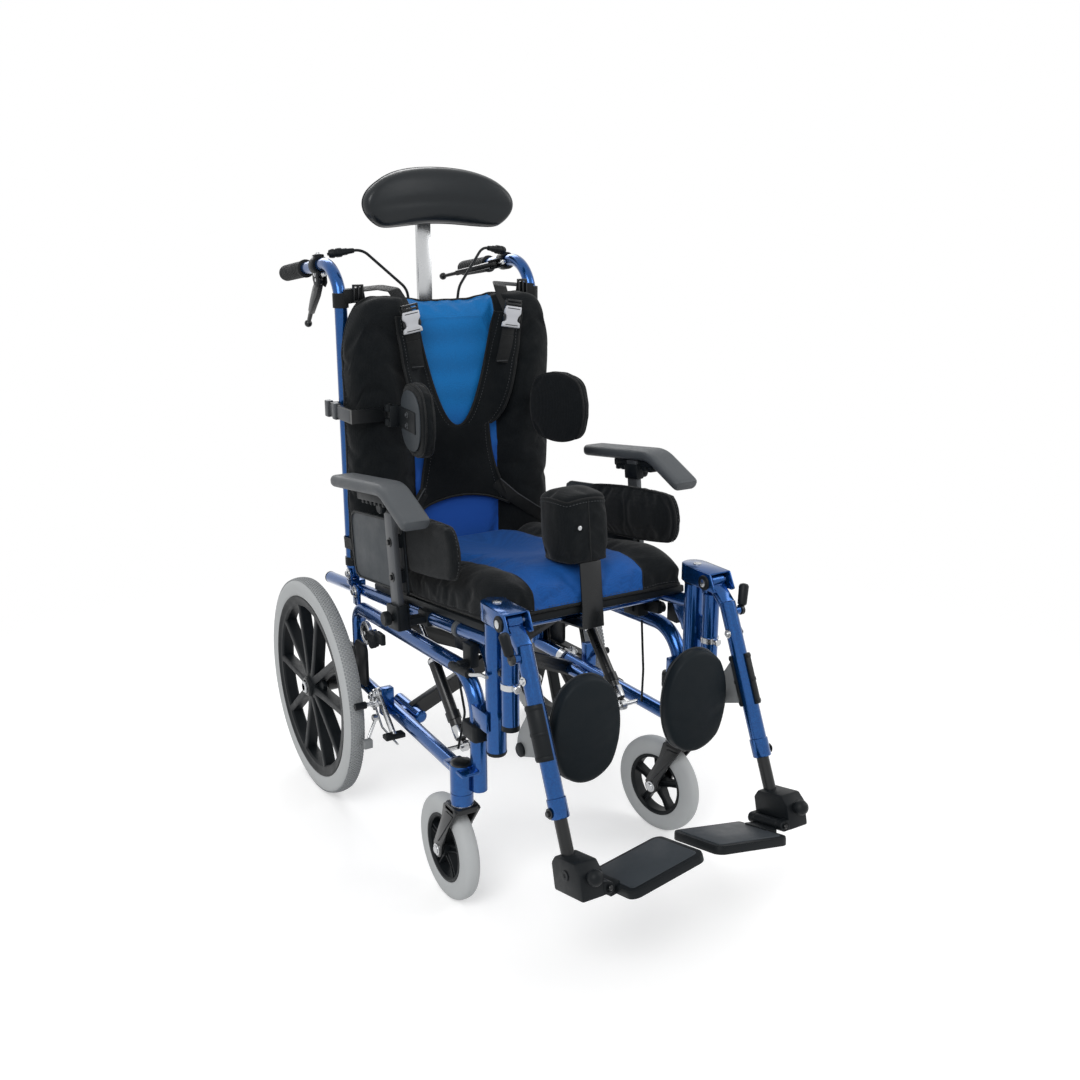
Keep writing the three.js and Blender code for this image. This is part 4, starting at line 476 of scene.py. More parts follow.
def piece(name, body, parts, nodes=(), smooth=38):
    """An object from (finish, shape) parts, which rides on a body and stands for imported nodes."""
    finishes = list(dict.fromkeys(look for look, _ in parts))
    points, faces, numbers = [], [], []
    for look, shape in parts:
        start = len(points)
        points += [metres(p) for p in shape[0]]
        faces += [tuple(start + i for i in face) for face in shape[1]]
        numbers += [finishes.index(look)] * len(shape[1])
    mesh = bpy.data.meshes.new(name)
    mesh.from_pydata(points, [], faces)
    mesh.polygons.foreach_set("material_index", numbers)
    for look in finishes:
        mesh.materials.append(LOOKS[look])
    mesh.shade_smooth()
    mesh.set_sharp_from_angle(angle=math.radians(smooth))
    return riding(placed(name, mesh), body, nodes)


def carried(place, *parts):
    return [(look, moved(shape, place)) for look, shape in parts]


def flipped(parts):
    return [(look, mirrored(shape)) for look, shape in parts]


def pair(name, body, parts, nodes=()):
    """The left piece and its mirror; {} in a body or node name becomes the side."""
    for side, sided in (("left", parts), ("right", flipped(parts))):
        piece(f"{name}_{side}", body.format(side), sided, [n.format(side) for n in nodes])


def bolt(at, way, radius, washer=1.7, tall=0.9):
    """A socket head screw on its washer."""
    r = radius
    return merged(
        turned([(0, r * washer), (r * 0.25, r * washer), (r * 0.3, r * (washer - 0.1)), (r * 0.3, r)], at, way, 20),
        turned([(r * 0.2, r), (r * tall, r), (r * (tall + 0.15), r * 0.85), (r * (tall + 0.15), r * 0.52)], at, way,
               20),
        turned([(r * (tall - 0.4), r * 0.5), (r * (tall - 0.3), r * 0.5)], at, way, 6))


print("helpers ready")

# %% [markdown]
# ## The base
# The base is bent from steel tube: one length makes the rear upright, the top rail and the down tube, and a
# lower rail joins them. A bent tube keeps its diameter through the bend, so each path is swept with one section
# and enough stations that the bend looks drawn over a die. The welded ears and plates are cut from flat stock.

# %% Side frames
BASE_X, HEAD_X, HEAD_Y = 190, 211, -173
TILT = (262, 397.64)  # the seat's pivot, as y and z
POST = (181, -230)  # the front post's middle, as x and y
rear = rounded([(BASE_X, 268, 225), (BASE_X, 268, 367), (BASE_X, -190, 393)], 30)
front = rounded([(BASE_X, 268, 367), (BASE_X, -190, 393), (BASE_X, -190, 208)], 62)
main_tube = sweep(rear[:-1] + front[1:], circle(13))
head_tube = turned([(0, 16.5), (1.5, 18), (20, 18), (20, 17.2), (21, 17.2), (21, 18), (65.5, 18), (67, 16.5)],
                   (HEAD_X, HEAD_Y, 183), Z)
head_cap = turned([(0, 15), (0, 16.8), (2.6, 16.8), (4, 14), (4.6, 6)], (HEAD_X, HEAD_Y, 249.8), Z)
lower_rail = tube([(BASE_X, 262, 225), (200.4, -130, 225), (202, HEAD_Y + 2, 225)], 12.5, 40)
stub = turned([(0, 6), (1, 9), (3, 11), (92, 11), (94, 9)], (168, 58, 225), Y)
stub_web = block((168, 94, 220), (196, 116, 230), 1.5)
ear_plate = plate([(249, 372)] + arc((262, 397.6), 13, 180, 0) + [(275, 372)], 191.6, 197.6, "x", 1.2)
saddle_line = ([(160.2, -237.8), (164.9, -237.8)] + arc(POST, 16.1, 180, 0, 12)
               + [(197.1, -237.8), (201.8, -237.8), (201.8, -190), (160.2, -190)])
saddle = plate(saddle_line, 322, 352, "z", 1.2)
saddle_block = plate([(161, -211), (205, -211), (208, -206), (208, -172), (204, -168), (170, -168), (161, -178)],
                     295, 321, "z", 3)
guard_corner = [(y, z) for cy, cz, start in ((232, 304, 0), (210, 304, 90), (210, 250, 180), (232, 250, 270))
                for y, z in arc((cy, cz), 14, start, start + 90, 6)]
axle_guard = merged(plate(guard_corner, 203.4, 210, "x", 2), block((199, 236, 262), (206, 262, 292), 1.5))
lock_clamp = merged(turned([(0, 12.6), (0.6, 15.6), (17.4, 15.6), (18, 12.6)], (190.6, 160, 225), (0.01, 1, 0)),
                    block((200, 163, 212), (214, 175, 240), 2), rod((207, 169, 244), (207, 169, 206), 4),
                    bolt((214, 169, 232), X, 4), bolt((214, 169, 219), X, 3.4),
                    tube([(209, 160, 214), (212, 128, 190), (212, 62, 184)], 2, 14, 12),
                    turned([(0, 5), (1.4, 6.4), (9, 6.4), (10.4, 5)], (210, 150, 200), X, 24),
                    beam((211, 150, 204), (236, 133, 172), 8, 2.4, Z, 0.6))
lock_tab = block((232, 122, 157), (248, 134, 173), 2)
RATCHET = Vector((203.6, 188, 345))
ratchet_disc = merged(turned([(0, 4.4), (0, 18), (1.6, 21), (7.4, 21), (9, 18.6), (9, 14), (6.5, 12), (6.5, 4.4)],
                             RATCHET, X, 44, True), rod((190, 188, 345), (214, 188, 345), 4))
ratchet_body = merged(block((205, 138, 334), (218, 168, 358), 4), block((203.6, 114, 344), (213, 142, 364), 3),
                      turned([(0, 9), (1, 10), (9, 10), (10, 8.6)], (209, 150, 340), X, 24),
                      turned([(0, 12), (2.5, 12), (3, 9)], RATCHET + X * 5.8, X, 24))
side_cable = tube([(179, -100, 236), (172, -112, 300), (178, -96, 384)], 2, 30, 12)
lock_post = block((197, 104, 222), (220.2, 120, 270), 1.5)
plate_line = ([(250, 192), (255, 187), (346, 187), (354, 195), (354, 214), (350, 222), (286, 296), (281, 298)]
              + [(255, 298), (250, 293)])
axle_plate = plate(plate_line, 201.2, 209, "x", 1.4)
spacer = turned([(0, 15), (1, 16), (25, 16), (25.7, 15)], (209, AXLE.y, AXLE.z), X)
axle = rod((230, AXLE.y, AXLE.z), (278.3, AXLE.y, AXLE.z), 8)
axle_nut = turned([(0, 12), (5.6, 12), (7, 10.6)], (271.3, AXLE.y, AXLE.z), X, 6)
tilt_pin = rod((169.5, *TILT), (200.5, *TILT), 5)
tilt_bolt = bolt((197.6, *TILT), X, 6)
strut_pin = rod((145, -75, 225), (199, -75, 225), 4)
strut_nut = turned([(0, 8), (4, 8), (5, 7)], (143.6, -75, 225), X, 6)
lock_pin = rod((212, 112, 262), (233.5, 112, 262), 4)
rail_end = merged(block((196, -205, 240.4), (226, -140, 246.4), 2.2), block((188, -196, 236), (199, -150, 246.4), 2))
plate_bolts = merged(*[bolt((209, y, z), X, 5.5) for y, z in ((262, 283), (262, 205), (300, 205))])
pair("side_frame", "base",
     [("lacquer", merged(main_tube, lower_rail, head_tube, stub, stub_web, ear_plate, saddle, lock_post, rail_end)),
      ("gloss_black", merged(axle_plate, spacer, head_cap)),
      ("plastic", merged(saddle_block, axle_guard, ratchet_body, side_cable)), ("pale_grey", lock_tab),
      ("steel", merged(axle, axle_nut, tilt_pin, tilt_bolt, strut_pin, strut_nut, lock_pin, plate_bolts, lock_clamp,
                       ratchet_disc))],
     ["side_frame_{}"])

brace = packed("cross_brace", 1.3)
brace_bolts = merged(bolt((0, 82, 297.7), (0, -1, 0), 9), bolt((0, 128, 297.7), Y, 9))
piece("cross_brace", "base", [("gloss_black", brace), ("steel", brace_bolts)], ["cross_brace"])
print("base pieces", len(made))

# %% [markdown]
# ## Wheels
# The rims are moulded nylon. A moulding has walls of even thickness, so a spoke isn't a solid bar but a web
# between two raised edges, and the rim is a shallow channel. The tyres are cast in grey rubber: the rear ones
# carry a knurled band of small blocks, and the casters are smooth. The blocks are one small shape repeated,
# which is the work of Geometry Nodes.

# %% Rear rims
RIM_OUT = 171


def along_x(profile, at, sides=64, closed=True):
    """A ring about the wheel's axis from (x, radius) points."""
    return turned(profile, at, X, sides, closed)


rim_ring = along_x([(-14.6, RIM_OUT - 0.5), (-14.6, RIM_OUT - 5), (-12.6, RIM_OUT - 8), (-12, RIM_OUT - 17),
                    (-9, RIM_OUT - 20), (9, RIM_OUT - 20), (12, RIM_OUT - 17), (12.6, RIM_OUT - 8),
                    (14.6, RIM_OUT - 5), (14.6, RIM_OUT - 0.5)], AXLE, 96)
hub = along_x([(-18, 12.6), (-18, 17), (-16.6, 19), (-12, 19.6), (-11, 24), (11, 24), (12, 19.6), (16.6, 19),
               (18, 17), (18, 12.6)], AXLE, 48)
SPOKE_SECTION = [(-7, -9), (-5.4, -10.6), (-3.4, -11), (3.4, -11), (5.4, -10.6), (7, -9),
                 (7, 9), (5.4, 10.6), (3.4, 11), (-3.4, 11), (-5.4, 10.6), (-7, 9)]
SPOKE_TURNS = [2 * math.pi * number / 5 for number in range(5)]
ROOT_R, ROOT_SPREAD, TIP_R, TIP_SPREAD = 17.5, math.radians(28), 156, math.radians(17)


def outward(turn):
    """A direction square to the wheel's axis."""
    return Vector((0, math.sin(turn), math.cos(turn)))


spokes, webs = [], []
for turn in SPOKE_TURNS:
    for side in (-1, 1):
        a = AXLE + outward(turn + side * ROOT_SPREAD) * ROOT_R
        b = AXLE + outward(turn + side * TIP_SPREAD) * TIP_R
        stations = [a, a.lerp(b, 0.06), a.lerp(b, 0.3), a.lerp(b, 0.92), b]
        spokes.append(sweep(stations, SPOKE_SECTION, side=X.cross((b - a).normalized()),
                            sizes=[1.25, 1.1, 1, 0.98, 1.1]))
    line = [(AXLE.y + r * math.sin(turn + a), AXLE.z + r * math.cos(turn + a))
            for r, a in ((20, -0.42), (46, -0.30), (52, 0.0), (46, 0.30), (20, 0.42))]
    webs.append(plate(line, AXLE.x - 4, AXLE.x + 4, "x", 1.2))
hub_cap = turned([(0, 13), (0, 17.4), (1.6, 17.4), (3.4, 15.6), (3.4, 13)], AXLE + X * 17.4, X, 40, True)
pair("rear_rim", "rear_wheel_{}",
     [("plastic", merged(rim_ring, hub, *spokes, *webs)), ("gloss_black", hub_cap)], ["rear_rim_{}"])


def tyre_ring(radius, depth, width, at, sides):
    half = width / 2
    inner = radius - depth
    side = [(half * 0.80, inner), (half * 0.93, inner + depth * 0.12), (half * 0.99, inner + depth * 0.3),
            (half, inner + depth * 0.5), (half * 0.965, inner + depth * 0.66), (half * 0.87, inner + depth * 0.8),
            (half * 0.72, inner + depth * 0.9), (half * 0.5, inner + depth * 0.965), (half * 0.25, radius - 0.35)]
    return along_x(side + [(0, radius)] + [(-x, r) for x, r in reversed(side)], at, sides)


rear_tyre = tyre_ring(202.2, 31.2, 34, AXLE, 128)
bead_line = merged(*[along_x([(x, 176), (x + 0.9 * s, 176.8), (x + 0.9 * s, 178.4), (x, 179.2)],
                             AXLE, 96) for s, x in ((1, 14.6), (-1, -14.6))])
pair("rear_tyre", "rear_wheel_{}", [("tyre", merged(rear_tyre, bead_line))], ["rear_tyre_{}"])

# %% [markdown]
# The knurled band could be modelled block by block, or faked with a bump. Blocks break the outline against the
# light, which a bump can't, and a node group places them all from a row count and a step count. It computes each
# block's angle from its number, shifts every other row by half a step, and leans the outer rows with the crown.

# %% Node groups that repeat a shape


def new_group(name, *sockets):
    """A geometry node group with named inputs, each (name, kind, default)."""
    group = bpy.data.node_groups.new(name, "GeometryNodeTree")
    group.interface.new_socket("Geometry", in_out="INPUT", socket_type="NodeSocketGeometry")
    for label, kind, value in sockets:
        made_socket = group.interface.new_socket(label, in_out="INPUT", socket_type="NodeSocket" + kind)
        if value is not None:
            made_socket.default_value = value
    group.interface.new_socket("Geometry", in_out="OUTPUT", socket_type="NodeSocketGeometry")
    return group, group.nodes.new("NodeGroupInput"), group.nodes.new("NodeGroupOutput")


def calc(tree, operation, first, second=None):
    """A Math node on two values, each a number or a (node, output)."""
    node = add_node(tree, "ShaderNodeMath", operation=operation)
    for index, value in enumerate((first, second)):
        if isinstance(value, tuple):
            tree.links.new(value[0].outputs[value[1]], node.inputs[index])
        elif value is not None:
            node.inputs[index].default_value = value
    return node, 0


def grown(name, group, values, mesh=None):
    """Runs a node group on a mesh and returns the plain mesh that it makes."""
    item = placed(name, mesh or bpy.data.meshes.new(name))
    modifier = item.modifiers.new(group.name, "NODES")
    modifier.node_group = group
    for socket in group.interface.items_tree:
        if socket.item_type == "SOCKET" and socket.in_out == "INPUT" and socket.name in values:
            modifier[socket.identifier] = values[socket.name]
    item.update_tag()
    result = bpy.data.meshes.new_from_object(item.evaluated_get(bpy.context.evaluated_depsgraph_get()))
    bpy.data.objects.remove(item)
    return result


def made_real(tree, given, spread, result):
    """Makes instances real, gives them the group's material and sends them out."""
    whole = tree.nodes.new("GeometryNodeRealizeInstances")
    painted = tree.nodes.new("GeometryNodeSetMaterial")
    join(tree, (spread, 0, whole, 0), (whole, 0, painted, "Geometry"), (given, "Material", painted, "Material"),
         (painted, 0, result, 0))


tree, given, result = new_group(
    "knurled tread", ("Rows", "Int", 5), ("Steps", "Int", 180), ("Radius", "Float", 0.2), ("Row Pitch", "Float", 0.005),
    ("Crown", "Float", 10.0), ("Block", "Vector", (0.004, 0.0045, 0.0016)), ("Centre", "Vector", (0, 0, 0)),
    ("Seed", "Int", 7), ("Material", "Material", None))
number = tree.nodes.new("GeometryNodeInputIndex"), 0
row = calc(tree, "FLOORED_MODULO", number, (given, "Rows"))
step = calc(tree, "FLOOR", calc(tree, "DIVIDE", calc(tree, "ADD", number, 0.01), (given, "Rows")))
middle_row = calc(tree, "DIVIDE", calc(tree, "SUBTRACT", (given, "Rows"), 1.0), 2.0)
across = calc(tree, "MULTIPLY", calc(tree, "SUBTRACT", row, middle_row), (given, "Row Pitch"))
half_step = calc(tree, "MULTIPLY", calc(tree, "FLOORED_MODULO", row, 2.0), 0.5)
angle = calc(tree, "MULTIPLY", calc(tree, "ADD", step, half_step),
             calc(tree, "DIVIDE", 2 * math.pi, (given, "Steps")))
fall = calc(tree, "MULTIPLY", calc(tree, "MULTIPLY", across, across), (given, "Crown"))
reach = calc(tree, "SUBTRACT", (given, "Radius"), fall)
lean = calc(tree, "MULTIPLY", calc(tree, "MULTIPLY", across, (given, "Crown")), 2.0)
sine, cosine = calc(tree, "SINE", angle), calc(tree, "COSINE", angle)
spot_at, normal = tree.nodes.new("ShaderNodeCombineXYZ"), tree.nodes.new("ShaderNodeCombineXYZ")
for node, values in ((spot_at, (across, calc(tree, "MULTIPLY", reach, sine), calc(tree, "MULTIPLY", reach, cosine))),
                     (normal, (lean, sine, cosine))):
    for index, value in enumerate(values):
        tree.links.new(value[0].outputs[0], node.inputs[index])
centred = add_node(tree, "ShaderNodeVectorMath", operation="ADD")
count = calc(tree, "MULTIPLY", (given, "Rows"), (given, "Steps"))
dots = tree.nodes.new("GeometryNodePoints")
cube = tree.nodes.new("GeometryNodeMeshCube")
upright = add_node(tree, "FunctionNodeAlignRotationToVector", axis="Z")
squared = add_node(tree, "FunctionNodeAlignRotationToVector", {"Vector": (1, 0, 0)}, axis="X", pivot_axis="Z")
wear = add_node(tree, "FunctionNodeRandomValue", data_type="FLOAT_VECTOR")
wear.inputs[0].default_value, wear.inputs[1].default_value = (0.93, 0.93, 0.9), (1.04, 1.04, 1.05)
spread = tree.nodes.new("GeometryNodeInstanceOnPoints")
join(tree, (spot_at, 0, centred, 0), (given, "Centre", centred, 1), (count[0], 0, dots, "Count"),
     (centred, 0, dots, "Position"), (given, "Block", cube, "Size"), (normal, 0, upright, "Vector"),
     (upright, 0, squared, "Rotation"), (given, "Seed", wear, "Seed"), (wear, 0, spread, "Scale"),
     (dots, 0, spread, "Points"), (cube, "Mesh", spread, "Instance"), (squared, 0, spread, "Rotation"))
made_real(tree, given, spread, result)
for side, sign in SIDES:
    band = grown("band", tree, {
        "Rows": 7, "Steps": 190, "Radius": 0.2026, "Row Pitch": 0.0037, "Crown": 16.0,
        "Block": (0.0029, 0.0045, 0.0018), "Centre": metres((sign * AXLE.x, AXLE.y, AXLE.z)), "Seed": 7,
        "Material": LOOKS["tread"]})
    riding(placed(f"rear_tread_{side}", band), f"rear_wheel_{side}")
print("tread blocks", len(band.polygons) // 6)

# %% Casters
YAW = {"left": math.radians(12), "right": 0.0}
CASTER_R, TRAIL = 86, 47
CASTER = Vector((0, TRAIL, CASTER_R))
crown_line = [(-22, -14), (-16, -20), (16, -20), (22, -14), (22, 16), (16, 22), (-16, 22), (-22, 16)]
crown = plate(crown_line, 172.4, 182.4, "z", 2)
race = turned([(0, 17), (2, 17.6), (5, 14), (5.6, 14)], (0, 0, 181.4), Z)
leg_line = ([(-20, 178), (-17, 181), (19, 181), (22, 178), (30, 150), (TRAIL + 13, 94)]
            + arc((TRAIL, CASTER_R), 13, 20, -170, 10) + [(TRAIL - 15, 98), (6, 142)])
legs = merged(plate(leg_line, 17, 22, "x", 1.1), plate(leg_line, -22, -17, "x", 1.1))
rib_line = [(-12, 170), (12, 170), (TRAIL + 2, 104), (TRAIL - 5, 102)]
ribs = merged(plate(rib_line, 22, 24, "x", 0.8), plate(rib_line, -24, -22, "x", 0.8))
caster_bolts = merged(*[bolt(CASTER + X * s * 22, X * s, 6.5, 1.5, 0.5) for s in (-1, 1)])
caster_axle = rod(CASTER - X * 22, CASTER + X * 22, 4.4)
stem = rod((0, 0, 175), (0, 0, 228), 8)
caster_ring = along_x([(-12, 55.6), (-12, 52), (-9, 49), (9, 49), (12, 52), (12, 55.6)], CASTER)
caster_hub = along_x([(-16.6, 5.2), (-16.6, 11), (-15, 13), (15, 13), (16.6, 11), (16.6, 5.2)], CASTER, 40)
CASTER_SECTION = [(-5.5, -7), (-3, -7), (-2.6, -3.4), (2.6, -3.4), (3, -7), (5.5, -7),
                  (5.5, 7), (3, 7), (2.6, 3.4), (-2.6, 3.4), (-3, 7), (-5.5, 7)]
caster_spokes = []
for turn in SPOKE_TURNS:
    way = outward(turn)
    a, b = CASTER + way * 10, CASTER + way * 51
    caster_spokes.append(broken(sweep([a, a.lerp(b, 0.5), b], CASTER_SECTION, side=X.cross(way),
                                      sizes=[1.25, 0.95, 1.15]), 0.6, 1))
caster_tyre = tyre_ring(CASTER_R, 30, 28, CASTER, 96)
for side, sign in SIDES:
    place = Matrix.Translation((sign * HEAD_X, HEAD_Y, 0)) @ Matrix.Rotation(YAW[side], 4, "Z")
    for name, body, slot, parts in (
            ("caster_fork", "caster_swivel", "black_paint",
             [("gloss_black", merged(crown, legs, ribs)), ("steel", merged(caster_bolts, caster_axle, stem, race))]),
            ("caster_rim", "caster_wheel", "black_plastic",
             [("plastic", merged(caster_ring, caster_hub, *caster_spokes))]),
            ("caster_tyre", "caster_wheel", "grey_tyre", [("tyre", caster_tyre)])):
        piece(f"{name}_{side}", f"{body}_{side}", carried(place, *parts), [f"{name}_{side}"])
print("wheels done", len(made))

# %% [markdown]
# ## Locks and struts
# The wheel locks are stamped steel: a lever with a pedal, whose nose swings against the tyre. The tilt is held by
# two gas springs. Each is a black cylinder with a chromed rod, a fork at the seat and an eye at the base.

# %% Wheel locks
LOCK = Vector((223.5, 112, 262))
lock_hub = turned([(0, 9), (0.8, 10), (5.2, 10), (6, 9)], LOCK - X * 3, X)
pedal_at = LOCK + Vector((0, -62, -54))
lock_arm = beam(LOCK, pedal_at, 6, 14, edge=1.2)
nose_at = LOCK + Vector((0, 13, -22.5))
lock_nose = beam(LOCK, nose_at, 6, 9, edge=1)
lock_tip = rod((221, nose_at.y, nose_at.z), (261.5, nose_at.y, nose_at.z), 4)
lock_sleeve = turned([(0, 5.4), (1, 6.4), (20, 6.4), (21, 5.4)], (241, nose_at.y, nose_at.z), X)
tread_pad = block(pedal_at - Vector((18, 9, 4)), pedal_at + Vector((18, 9, 4)), 2.2)
pedal_ribs = merged(*[block(pedal_at + Vector((-15, y - 1.1, 3.4)), pedal_at + Vector((15, y + 1.1, 5)), 0.5)
                      for y in (-5, 0, 5)])
pair("wheel_lock", "lock_{}",
     [("steel", merged(lock_hub, lock_arm, lock_nose, lock_tip, bolt(LOCK + X * 3, X, 5))),
      ("plastic", merged(tread_pad, pedal_ribs, lock_sleeve))], ["wheel_lock_{}"])

# %% Gas struts
STRUT_FOOT, STRUT_HEAD = Vector((156, -75, 225)), Vector((156, 98, 409.97))
STRUT_WAY = STRUT_HEAD - STRUT_FOOT
way = STRUT_WAY.normalized()
body_end = STRUT_WAY.length * 0.62
strut_body = turned([(9, 6), (11, 9), (14, 10), (body_end - 2, 10), (body_end, 8.4), (body_end, 4.3)], STRUT_FOOT,
                    STRUT_WAY, 32)
strut_eye = along_x([(-4.5, 3.9), (-4.5, 8), (-3.6, 9), (3.6, 9), (4.5, 8), (4.5, 3.9)], STRUT_FOOT, 32)
strut_collar = turned([(0, 10.1), (0.6, 10.9), (5.4, 10.9), (6, 10.1)], STRUT_FOOT + way * (body_end - 9), way, 32)
strut_foot = merged(turned([(0, 10.1), (0.6, 10.8), (20, 10.8), (21, 10.1)], STRUT_FOOT + way * 13, way, 32),
                    along_x([(-4.6, 4.4), (-4.6, 9.4), (4.6, 9.4), (4.6, 4.4)], STRUT_FOOT, 32))
strut_band = turned([(0, 10.1), (0.6, 12), (15.4, 12), (16, 10.1)], STRUT_FOOT + way * 44, way, 32)
pair("strut_cylinder", "strut_lower_{}",
     [("gloss_black", merged(strut_body, strut_eye, strut_band)), ("steel", merged(strut_collar, strut_foot))],
     ["strut_cylinder_{}"])
strut_shaft = rod(STRUT_FOOT + STRUT_WAY * 0.24, STRUT_HEAD - way * 21, 4)
fork_parts = [beam(STRUT_HEAD + X * s - way * 22, STRUT_HEAD + X * s + way * 4.4, 4.8, 14, edge=1.3)
              for s in (-5.8, 5.8)]
fork_base = beam(STRUT_HEAD - way * 23, STRUT_HEAD - way * 18, 16.4, 14, edge=1)
rod_nut = turned([(0, 6.6), (6, 6.6)], STRUT_HEAD - way * 30, way, 6)
pair("strut_rod", "strut_upper_{}", [("steel", merged(strut_shaft, *fork_parts, fork_base, rod_nut))],
     ["strut_rod_{}"])
print("locks and struts done", len(made))

# %% [markdown]
# ## The seat's frame
# Everything above the base tilts as one: two rails, the front posts that rest in open saddles, and the cross
# tubes. The seat's own frame leans back with the rails, so sizes above the rails are written in that frame and
# carried into the chair's by one matrix. The same is done for the back, the legs and the foot blocks.

# %% Frames of the seat, the back and the leg
RAIL_FALL = -75 / 630


def rail_z(y):
    return 453 + RAIL_FALL * (y + 203)


SEAT = Matrix.Translation((0, -203, 453)) @ Matrix.Rotation(math.atan(RAIL_FALL), 4, "X")
BACK = Matrix.Translation((0, 292, rail_z(292) + 30))
KNEE = Vector((181, -280, 505.5))
LEAN = math.radians(24)
LEG_WAY = Vector((0, -math.sin(LEAN), -math.cos(LEAN)))
LEG_AHEAD = Vector((0, -math.cos(LEAN), math.sin(LEAN)))
HINGE = (292, 424.07)  # the back's hinge, as y and z


def on_leg(along, ahead=17.4, across=0.0):
    return KNEE + LEG_WAY * along + LEG_AHEAD * ahead + X * across


# %% Seat frame
rail = rod((180, 426, rail_z(426)), (180, -230, rail_z(-230)), 11)
rail_plug = turned([(0, 10), (0, 11.2), (2, 11.2), (4, 8)], (180, 427, rail_z(427)), (0, 1, -0.119))
post = turned([(0, 13), (1.5, 15.5), (203.5, 15.5), (205, 14)], (*POST, 285), Z)
post_collar = turned([(0, 9.6), (0, 16.6), (3.2, 16.6), (3.9, 15.6), (3.9, 9.6)], (*POST, 489.9), Z)
post_foot = turned([(0, 11), (0, 14), (4, 15.9), (6, 15.9), (6, 11)], (*POST, 282), Z)
gusset = plate([(-230, 398.2), (-206, 403), (-203.5, 409.2), (-176, 441), (-172, rail_z(-172)), (-230, 456)],
               177, 183, "x", 1.2)
lug = plate([(91, 403), (93, 401), (122, 401), (122, 419), (93, 419), (91, 417)], 153, 159, "x", 0.9)
ear_block = merged(block((169, 279, 382), (191, 305, 405), 2), block((169, 279, 402), (196.3, 305, 412.4), 1.5))
ears = merged(*[plate([(281, 409)] + arc(HINGE, 11, 180, 0, 12) + [(303, 409)], x, x + 4, "x", 0.8)
                for x in (179.7, 192.3)])
ear_pin = rod((175, *HINGE), (201, *HINGE), 4)
ear_bolts = bolt((196.3, *HINGE), X, 5.5)
socket = merged(block((221.7, 174.7, -10), (227.7, 215.3, 30), 1.5),
                block((238.3, 174.7, -10), (244.3, 215.3, 30), 1.5), block((224, 174.7, -10), (242, 180.7, 30), 1),
                block((224, 209.3, -10), (242, 215.3, 30), 1), block((224, 178, -10), (242, 212, -4), 0.5))
bridge = merged(block((186, 181, -5.5), (224, 209, 5.5), 2), block((169, 178, -13), (193, 212, 13), 3))
socket_knob = turned([(0, 6), (4, 6), (4, 10), (6, 12), (14, 12), (16, 10)], (244.3, 195, 10), X, 10)
clamp = merged(block((167, 262, -14), (195, 284, 14), 3), block((192, 266, -6), (206, 280, 8), 2))
clamp_bolt = bolt((206, 273, 1), X, 4.5)
release_rod = tube([(212, -196, 406), (212, -212, 408), (203, -226, 411), (203, -243, 413)], 3, 10, 16)
release_grip = turned([(0, 5), (1, 6.8), (50, 7), (58, 6), (60, 4)], (212, -206, 407), (0, 1, -0.09), 24)
release_clamp = merged(block((193, -178, 402), (212, -164, 414), 2), block((183, -184, 404), (198, -158, 440), 2))
under_block = merged(block((150, 84, -40), (172, 128, -12), 3), block((146, 96, -32), (152, 118, -20), 1),
                     turned([(0, 8), (1, 9), (11, 9), (12, 8)], (174, 62, -24), X, 28),
                     block((166, 50, -32), (176, 92, -10), 2.5))
rail_ring = turned([(0, 11.1), (0.5, 13.4), (11.5, 13.4), (12, 11.1)], (180, 80, 0), Y)
seat_left = [("lacquer", merged(rail, post, gusset, lug, ear_block, ears)),
             ("plastic", merged(post_collar, post_foot, rail_plug, release_grip, release_clamp)),
             ("steel", merged(ear_pin, ear_bolts, release_rod))]
seat_left += carried(SEAT, ("plastic", merged(socket, bridge, clamp, socket_knob, under_block)),
                     ("grey_plastic", rail_ring), ("steel", clamp_bolt))
cross_tubes = merged(*[tube([(-178, y, rail_z(y)), (178, y, rail_z(y))], 9) for y in (-150, 122)])
piece("seat_frame", "seat", seat_left + flipped(seat_left) + [("lacquer", cross_tubes)], ["seat_frame"])
piece("seat_pan", "seat", [("plastic", packed("seat_pan", 2.5))], ["seat_pan"])

# %% Hangers
wall_line = [(-232, 494), (-302, 494), (-304, 496), (-292, 519), (-290, 521), (-232, 521)]
hanger_walls = merged(plate(wall_line, 160, 163.2, "x", 1), plate(wall_line, 198.8, 202, "x", 1))
roof = plate([(160.4, -289), (201.6, -289), (202, -230)] + arc(POST, 21, 0, 180, 16)[1:], 518, 521, "z", 1)
floor_line = ([(160.6, -302.5), (167, -302.5), (167, -268), (195, -268), (195, -302.5), (201.4, -302.5), (202, -230)]
              + arc(POST, 21, 0, 180, 16)[1:])
under = plate(floor_line, 494, 497, "z", 0.8)
round_wall = plate(arc(POST, 21, -12, 192, 20) + arc(POST, 17, 192, -12, 20), 494.4, 520.6, "z", 0.6)
inner_wall = block((162, -255, 496), (200, -251, 519), 0.5)
upright_tube = turned([(0, 10), (0, 12), (1, 13), (142, 13), (143, 12)], (181, -273, 341), Z)
upright_top = block((170, -275.5, 482), (192, -262, 496), 1)
upright_cap = turned([(0, 9), (0, 13.5), (3, 13.5), (8, 13.1), (8, 11)], (181, -273, 338.6), Z)
hook = plate([(-268, 400), (-266, 398), (-247.5, 398), (-245.8, 400), (-245.8, 438), (-248, 440), (-268, 440)],
             178, 184, "x", 1)
hook_bolts = merged(*[bolt((184, y, 419), X, 4) for y in (-262, -252)])
hanger_pin = rod((*POST, 432), (*POST, 496), 9)
washers = merged(*[turned([(0, 11.5), (1.6, 12), (3.2, 11), (3.6, 6)], (x, KNEE.y, KNEE.z), (s, 0, 0), 32)
                   for x, s in ((202, 1), (160, -1))])
